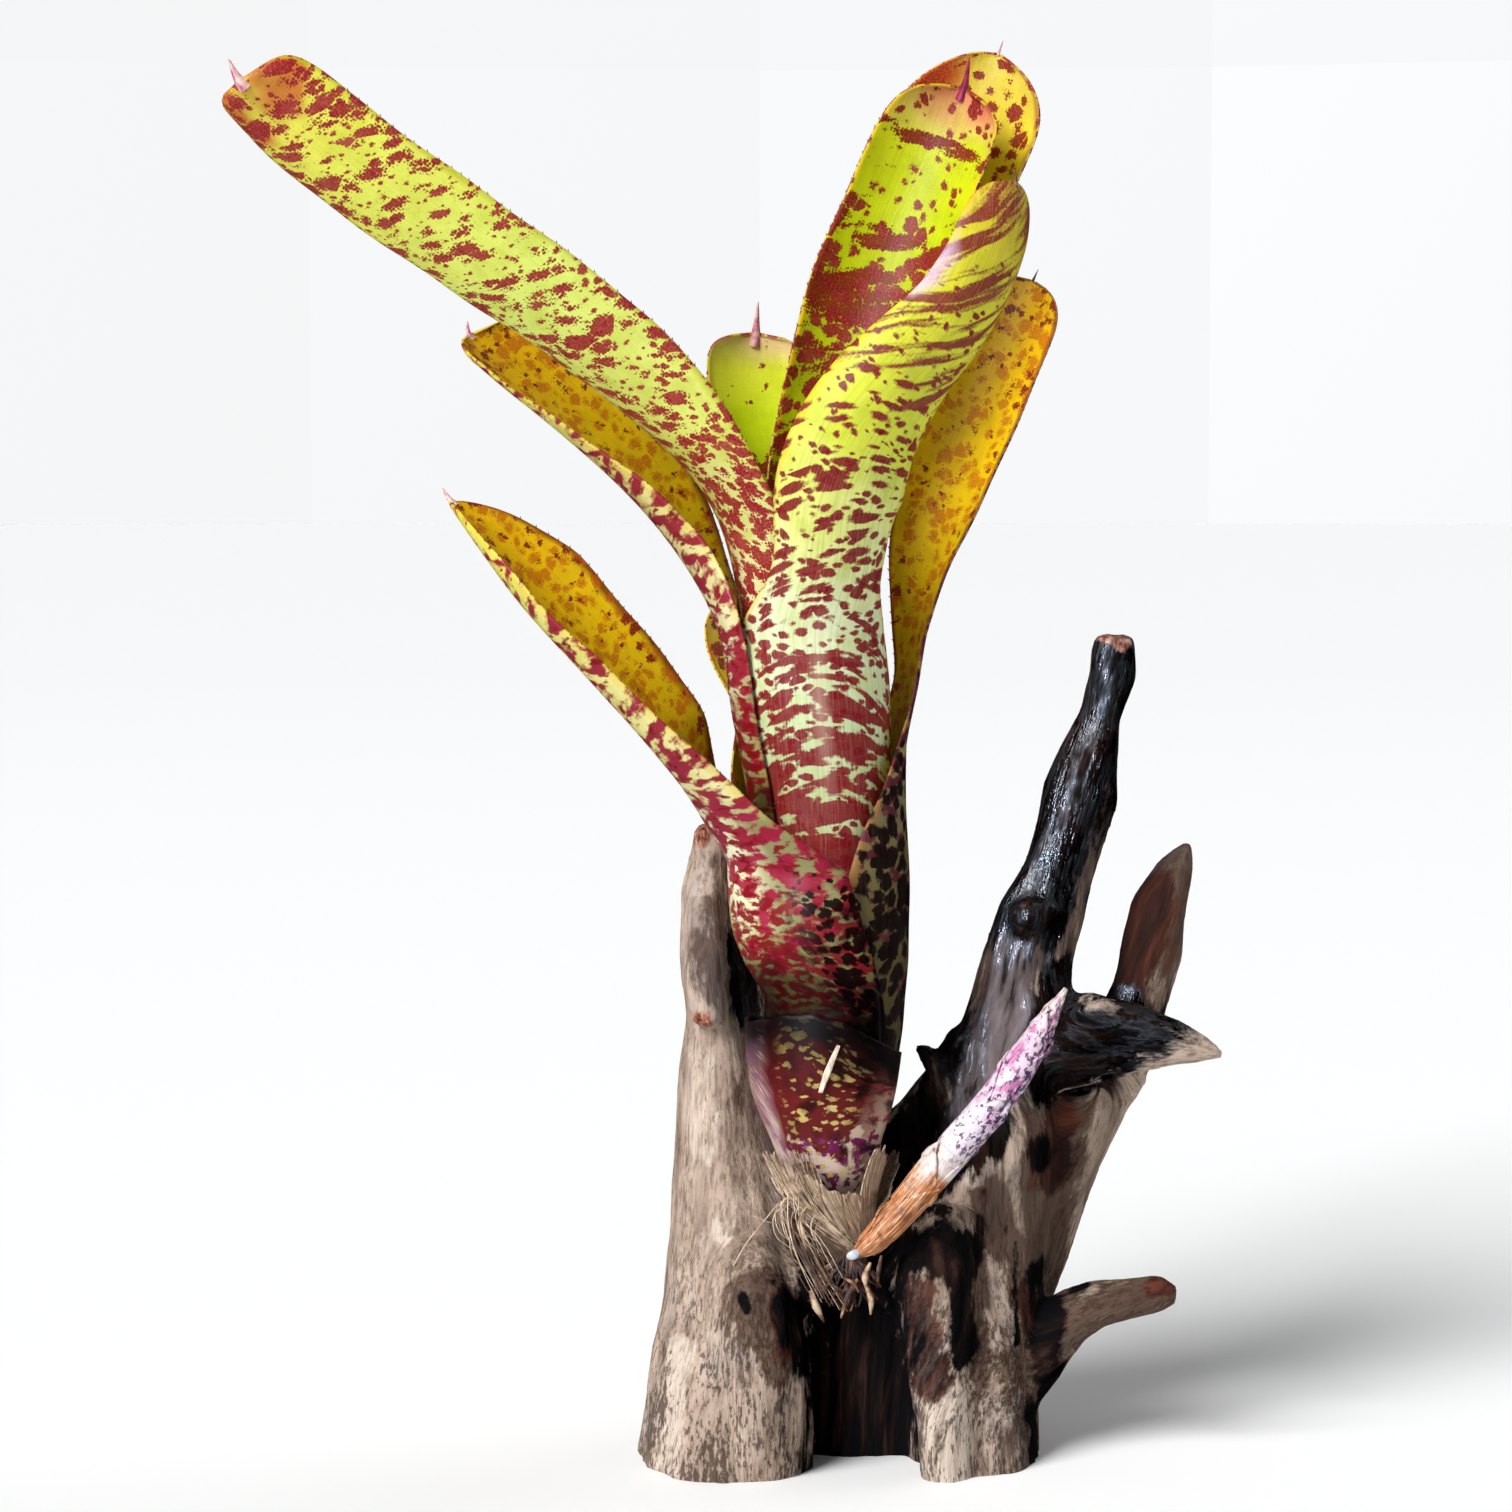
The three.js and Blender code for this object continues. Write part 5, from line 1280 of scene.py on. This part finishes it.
lime = leaf_skin(
    "lime_face",
    [(0, (0.2, 0.3, 0.002)), (0.5, (0.42, 0.5, 0.001)), (0.8, (0.56, 0.65, 0.001)),
     (0.92, (0.6, 0.66, 0.004)), (0.955, (0.7, 0.56, 0.1)), (1, (0.7, 0.2, 0.12))],
    [
        {"kind": "blot", "colour": ((0.1, 0.001, 0.0), (0.22, 0.008, 0.002), (0.36, 0.06, 0.012)),
         "size": (1.6, 0.34), "slant": -0.42, "combed": 0.3, "sway": 0.4, "bunched": 0.2, "detail": 3,
         "density": [(0.5, 0.5), (0.62, 0.4), (0.65, 0.6), (0.68, 0.2), (0.7, 0.7), (0.755, 0.74),
                     (0.775, 0.1), (0.795, 0.7), (0.81, 0.7), (0.83, 0.02), (0.91, 0), (0.925, 0.58),
                     (0.935, 0.56), (0.945, 0)]},
        {"kind": "spot", "colour": BRICK, "size": (0.3, 0.3), "seed": 6, "lumpy": 0.6, "ragged": 0.15,
         "density": [(0.4, 0.8), (0.7, 0.7), (0.8, 0.66), (0.86, 0.36), (0.93, 0.36), (1, 0.6)]},
    ],
    veins=0.25, edge=((0.8, 0.55, 0.003), 0.9),
)
grow_leaf(
    "front_leaf", "leaf_front", lime, tube_front, layer=5, azimuth=274, mouth=143, tip=(18, 3, 5),
    wrap=[(0, 115), (0.3, 104), (0.75, 92), (1, 68)],
    rib=[
        (-1, -21.3, 154.5), (0.6, -25.2, 165), (5, -28, 175.5), (13.4, -29, 185.5), (22, -28.5, 195),
        (27.6, -27, 207), (28.4, -25.4, 217),
    ],
    spine=(28.4, -24.6, 219.4), width=[(0.12, 10.7), (0.3, 12.8), (0.5, 12.8), (0.75, 11.4), (1, 10.4)],
    channel=[(0, 68), (0.25, 55), (0.6, 60), (1, 62)], face=[(0, 1, 0), (-0.62, 0.62, 0.3)], claw=0.6,
    claw_skin=horn.material,
)


# ---- Upper left leaf -----------------------------------------------------------------------
# The longest leaf. Its back is to the front, lime-yellow with brick-red blotches, and its cupped
# tip ends in a hooked spine.

lime_back = leaf_skin(
    "upper_left_back",
    [(0, (0.4, 0.4, 0.15)), (0.5, (0.8, 0.74, 0.4)), (0.6, (0.72, 0.74, 0.16)), (0.75, (0.74, 0.84, 0.18)),
     (0.9, (0.78, 0.8, 0.11)), (0.972, (0.8, 0.74, 0.09)), (0.99, (0.6, 0.2, 0.03))],
    [
        {"kind": "spot", "colour": BRICK_RED, "size": (0.5, 0.3), "slant": -0.5, "bunched": 0.7, "lumpy": 0.8,
         "ragged": 0.4, "density": [(0.5, 0.66), (0.6, 0.54), (0.75, 0.5), (0.88, 0.6), (1, 0.6)]},
        {"kind": "spot", "colour": BRICK_RED, "size": (0.2, 0.16), "slant": -0.3, "seed": 8, "margin": 0.2,
         "ragged": 0.2, "density": [(0.4, 0.9), (0.56, 0.76), (0.66, 0.4), (0.8, 0.28), (1, 0.32)]},
    ],
    veins=0.12, edge=((0.55, 0.5, 0.01), 0.6),
)
grow_leaf(
    "upper_left_leaf", "leaf_upper_left", golden, lime_back, layer=6, azimuth=208, mouth=150, tip=(3, 3, 14),
    wrap=[(0, 115), (0.3, 100), (0.75, 84), (1, 60)],
    rib=[
        (-18, -14, 162.4), (-26.6, -19, 175.4), (-42, -25, 191), (-60.3, -31, 205), (-78.6, -36, 218),
        (-90.4, -39, 227.2), (-95.2, -41, 231.6),
    ],
    spine=(-97, -41.4, 235.2), width=[(0.12, 10.8), (0.3, 11.4), (0.6, 10.3), (0.85, 10.2), (1, 11)],
    channel=[(0, 62), (0.3, 50), (0.7, 42), (0.9, 50), (1, 74)], face=[(0.75, 0.6, 0.25), (0.3, 0.88, 0.36)],
    claw=1.6,
)


# ---- Small leaf and the two tall leaves ----------------------------------------------------
# The youngest leaves, from the middle of the tube. The small one has just opened. The two tall
# ones stand one behind the other and lean to the right.

green_face = leaf_skin(
    "small_leaf_face",
    [(0, (0.2, 0.3, 0.004)), (0.6, (0.56, 0.68, 0.004)), (0.78, (0.7, 0.9, 0.01)), (0.93, (0.82, 0.88, 0.05)),
     (0.985, (0.84, 0.62, 0.3))],
    [{"kind": "blot", "colour": BRICK, "size": (0.3, 0.3),
      "density": [(0.4, 0.7), (0.66, 0.6), (0.74, 0.05), (1, 0)]}],
    veins=0.08, edge=((0.5, 0.3, 0.05), 0.6),
)
grow_leaf(
    "small_leaf", "leaf_small", green_face, lime_back, layer=7, azimuth=132, mouth=160, tip=(2.5, 3, 5),
    wrap=[(0, 100), (0.3, 84), (0.75, 66), (1, 46)],
    rib=[(-11.8, 4, 168), (-13.4, 5.8, 177), (-14.4, 5.9, 186), (-13.8, 4.8, 193.8)],
    spine=(-13.4, 3.4, 199.4), width=[(0.3, 6), (0.75, 8.8), (1, 8.4)],
    channel=[(0, 46), (0.5, 48), (1, 44)], face=[(0.5, -0.85, 0), (0.08, -0.9, 0.4)], claw=1.4,
)
grow_leaf(
    "tall_back_leaf", "leaf_tall_back", yellow, lime_back, layer=8, azimuth=44, mouth=164, tip=(12, 2),
    wrap=[(0, 115), (0.3, 100), (0.8, 76), (1, 60)],
    rib=[
        (3.4, 2.6, 177), (7.6, 6.4, 190.5), (13, 8.8, 205), (19, 9, 219), (24.8, 7.6, 231.4),
        (27.6, 6, 241.2),
    ],
    spine=(28.4, 5, 243.6), width=[(0.22, 8.6), (0.5, 11.6), (0.75, 14), (0.9, 13.4), (1, 12)],
    channel=[(0, 60), (0.4, 46), (1, 44)], face=[(-0.6, -0.8, 0), (-0.2, -0.92, 0.32)], claw=0.5,
)
grow_leaf(
    "tall_front_leaf", "leaf_tall_front", lime, lime_back, layer=9, azimuth=76, mouth=168, tip=(4, 2.6, 14),
    wrap=[(0, 115), (0.3, 100), (0.8, 88), (1, 78)],
    rib=[
        (-0.4, 1.4, 178), (3, 2.4, 189), (8, 3.6, 202), (13.6, 3.6, 215.5), (18.6, 2, 227.4),
        (21.4, -0.4, 234.8),
    ],
    spine=(22.2, -3, 240), width=[(0.25, 11.2), (0.45, 12.7), (0.7, 12.4), (1, 12)],
    channel=[(0, 76), (0.4, 54), (1, 54)], face=[(-0.3, -0.95, 0), (-0.2, -0.9, 0.36)], claw=1.3,
    claw_skin=wine_spine.material,
)
bpy.data.objects.remove(tooth)


# ---- Stolon --------------------------------------------------------------------------------
# A young side shoot, not quite as thick as a pencil, that grows out of the foot to the right. It
# is wrapped in overlapping scales, orange-brown and silky below and pink-white with violet
# freckles above.

STOLON = [
    (3.4, -15.4, 38.4), (6.2, -16, 40.8), (9, -16.8, 44), (13.6, -17.8, 49.8), (20.2, -18.4, 57.7),
    (26.8, -18.8, 65.6), (33.2, -18.6, 75.4), (38.2, -18, 84),
]
STOLON_RADIUS = [
    (0, 1), (0.03, 1.8), (0.08, 2.2), (0.2, 2.6), (0.32, 2.85), (0.5, 2.9), (0.75, 2.5), (0.9, 1.5), (1, 0.4)
]
STOLON_SCALES = [  # where each starts on the shoot, and ends, and the turn of its middle
    (0.03, 0.2, 200), (0.1, 0.32, 40), (0.2, 0.42, 300), (0.3, 0.54, 140), (0.42, 0.66, 20),
    (0.52, 0.78, 230), (0.62, 0.86, 90), (0.72, 0.93, 320), (0.8, 0.985, 190),
]
STOLON_ROUND, STOLON_LONG = 1.9, 5.6  # of its flat map, in centimetres
SLEEVE_HALF = 1.9  # how far a scale reaches round to each side, in radians
SLEEVE_THICKNESS = 0.22

stolon_fine, stolon_knots = catmull(STOLON)
stolon_length = stolon_knots[-1]


def round_stolon(turn, s, out=0.0):
    """A place on the shoot. s goes from its foot to its point, and turn 0 faces the front."""
    middle, way = on_curve(stolon_fine, min(s, 0.9999) * stolon_length)
    side = (Vector((0, -1, 0)) + way * way.y).normalized()
    r = along(STOLON_RADIUS, s) + out + 0.08 * noise.noise(
        Vector((math.cos(turn) * 2, math.sin(turn) * 2, s * 14))
    )
    return middle + (side * math.cos(turn) + way.cross(side) * math.sin(turn)) * r


def map_stolon(piece, turn_of, s_of):
    """Sets the flat map of a piece of the shoot, in centimetres round it and along it."""
    layer = piece.data.uv_layers[0]
    layer.name = "centimetres"
    for loop in layer.data:
        v, s = loop.uv.x * 2 - 1, min(max(loop.uv.y, 0), 1)
        round_it = ((turn_of(v, s) + math.pi) % math.tau) / math.tau
        loop.uv = (round_it * STOLON_ROUND, s_of(v, s) * STOLON_LONG)


core = sheet("stolon_core", 32, 90, lambda v, s: round_stolon(v * math.pi, s))
map_stolon(core, lambda v, s: v * 3.14, lambda v, s: s)  # just short of half a turn, where it wraps
only(core)
bpy.ops.object.mode_set(mode="EDIT")
bpy.ops.mesh.select_all(action="SELECT")
bpy.ops.mesh.remove_doubles(threshold=1e-6)
bpy.ops.mesh.fill_holes(sides=0)
bpy.ops.mesh.normals_make_consistent(inside=False)
bpy.ops.object.mode_set(mode="OBJECT")
sleeves = [core]
for number, (start, end, turn) in enumerate(STOLON_SCALES):

    def turn_of(v, s, turn=turn):
        return math.radians(turn) + v * SLEEVE_HALF * (1 - s**3) ** 0.6

    def s_of(v, s, start=start, end=end, number=number):
        tear = 0.012 * noise.noise(Vector((v * 6, number * 2.3, 0)))
        return start + (end - start) * s * (1 - 0.25 * v * v) + tear * s

    sleeve = sheet(
        f"stolon_scale_{number}", 20, 18,
        lambda v, s: round_stolon(turn_of(v, s), s_of(v, s),
                                  0.12 + 0.1 * s + 0.45 * max(s - 0.6, 0) ** 2 * 6),
    )
    map_stolon(sleeve, turn_of, s_of)
    applied(sleeve, "SOLIDIFY", thickness=SLEEVE_THICKNESS * MM, offset=0)
    sleeves.append(sleeve)
stolon = one_piece(sleeves, "stolon_scaly")
shape = stolon.data
only(stolon)
bpy.ops.object.shade_smooth()

shoot = Finish("stolon", 0.45)
flat = shoot.node("UVMap", uv_map="centimetres").outputs["UV"]
split = shoot.node("SeparateXYZ", {0: flat})
up_shoot = shoot.math("DIVIDE", split.outputs["Y"], STOLON_LONG)
blush = shoot.noise(flat, 2.2, 4, 0.6)
shifted = shoot.math("MULTIPLY_ADD", shoot.math("SUBTRACT", blush, 0.5), 0.4, up_shoot)
fibre = shoot.noise(shoot.stretch(flat, (1, 0.08, 1)), 30, 3)
rind = shoot.ramp(
    fibre,
    [
        (0.34, (0.14, 0.035, 0.008)), (0.46, (0.48, 0.15, 0.03)), (0.58, (0.68, 0.27, 0.07)),
        (0.68, (0.86, 0.58, 0.32)),
    ],
)
skin_tone = shoot.ramp(
    shifted,
    [
        (0.36, (0.76, 0.64, 0.58)), (0.5, (0.76, 0.65, 0.73)), (0.8, (0.74, 0.52, 0.64)),
        (1, (0.8, 0.74, 0.62)),
    ],
)
worn = shoot.math("MULTIPLY", shoot.step(shoot.noise(flat, 5, 4, 0.6), 0.5, 0.62), 0.75)
rind = shoot.mix(worn, rind, (0.2, 0.06, 0.016))
tone = shoot.mix(shoot.step(shifted, 0.3, 0.38), rind, skin_tone)
rosy = shoot.math(
    "MULTIPLY", shoot.step(shoot.noise(flat, 3.4, 3, 0.6), 0.5, 0.58), shoot.step(up_shoot, 0.5, 0.66)
)
tone = shoot.mix(shoot.math("MULTIPLY", rosy, 0.85), tone, (0.5, 0.08, 0.3))
below = shoot.step(split.outputs["X"], 0.8, 1.2)
freckle = shoot.math("MULTIPLY_ADD", below, 0.1, shoot.noise(shoot.stretch(flat, (1, 0.7, 1)), 11, 3, 0.65))
violet = shoot.math("MULTIPLY", shoot.step(freckle, 0.56, 0.61), shoot.step(up_shoot, 0.36, 0.46))
tone = shoot.mix(violet, tone, (0.07, 0.014, 0.11))
tone = shoot.mix(shoot.math("MULTIPLY", shoot.step(fibre, 0.5, 0.65), 0.25), tone, (0.9, 0.82, 0.84))
shoot.colour(tone)
shoot.relief(fibre, 0.15 * MM)
shape.materials.append(shoot.material)
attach(stolon, "root")
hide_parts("stolon")
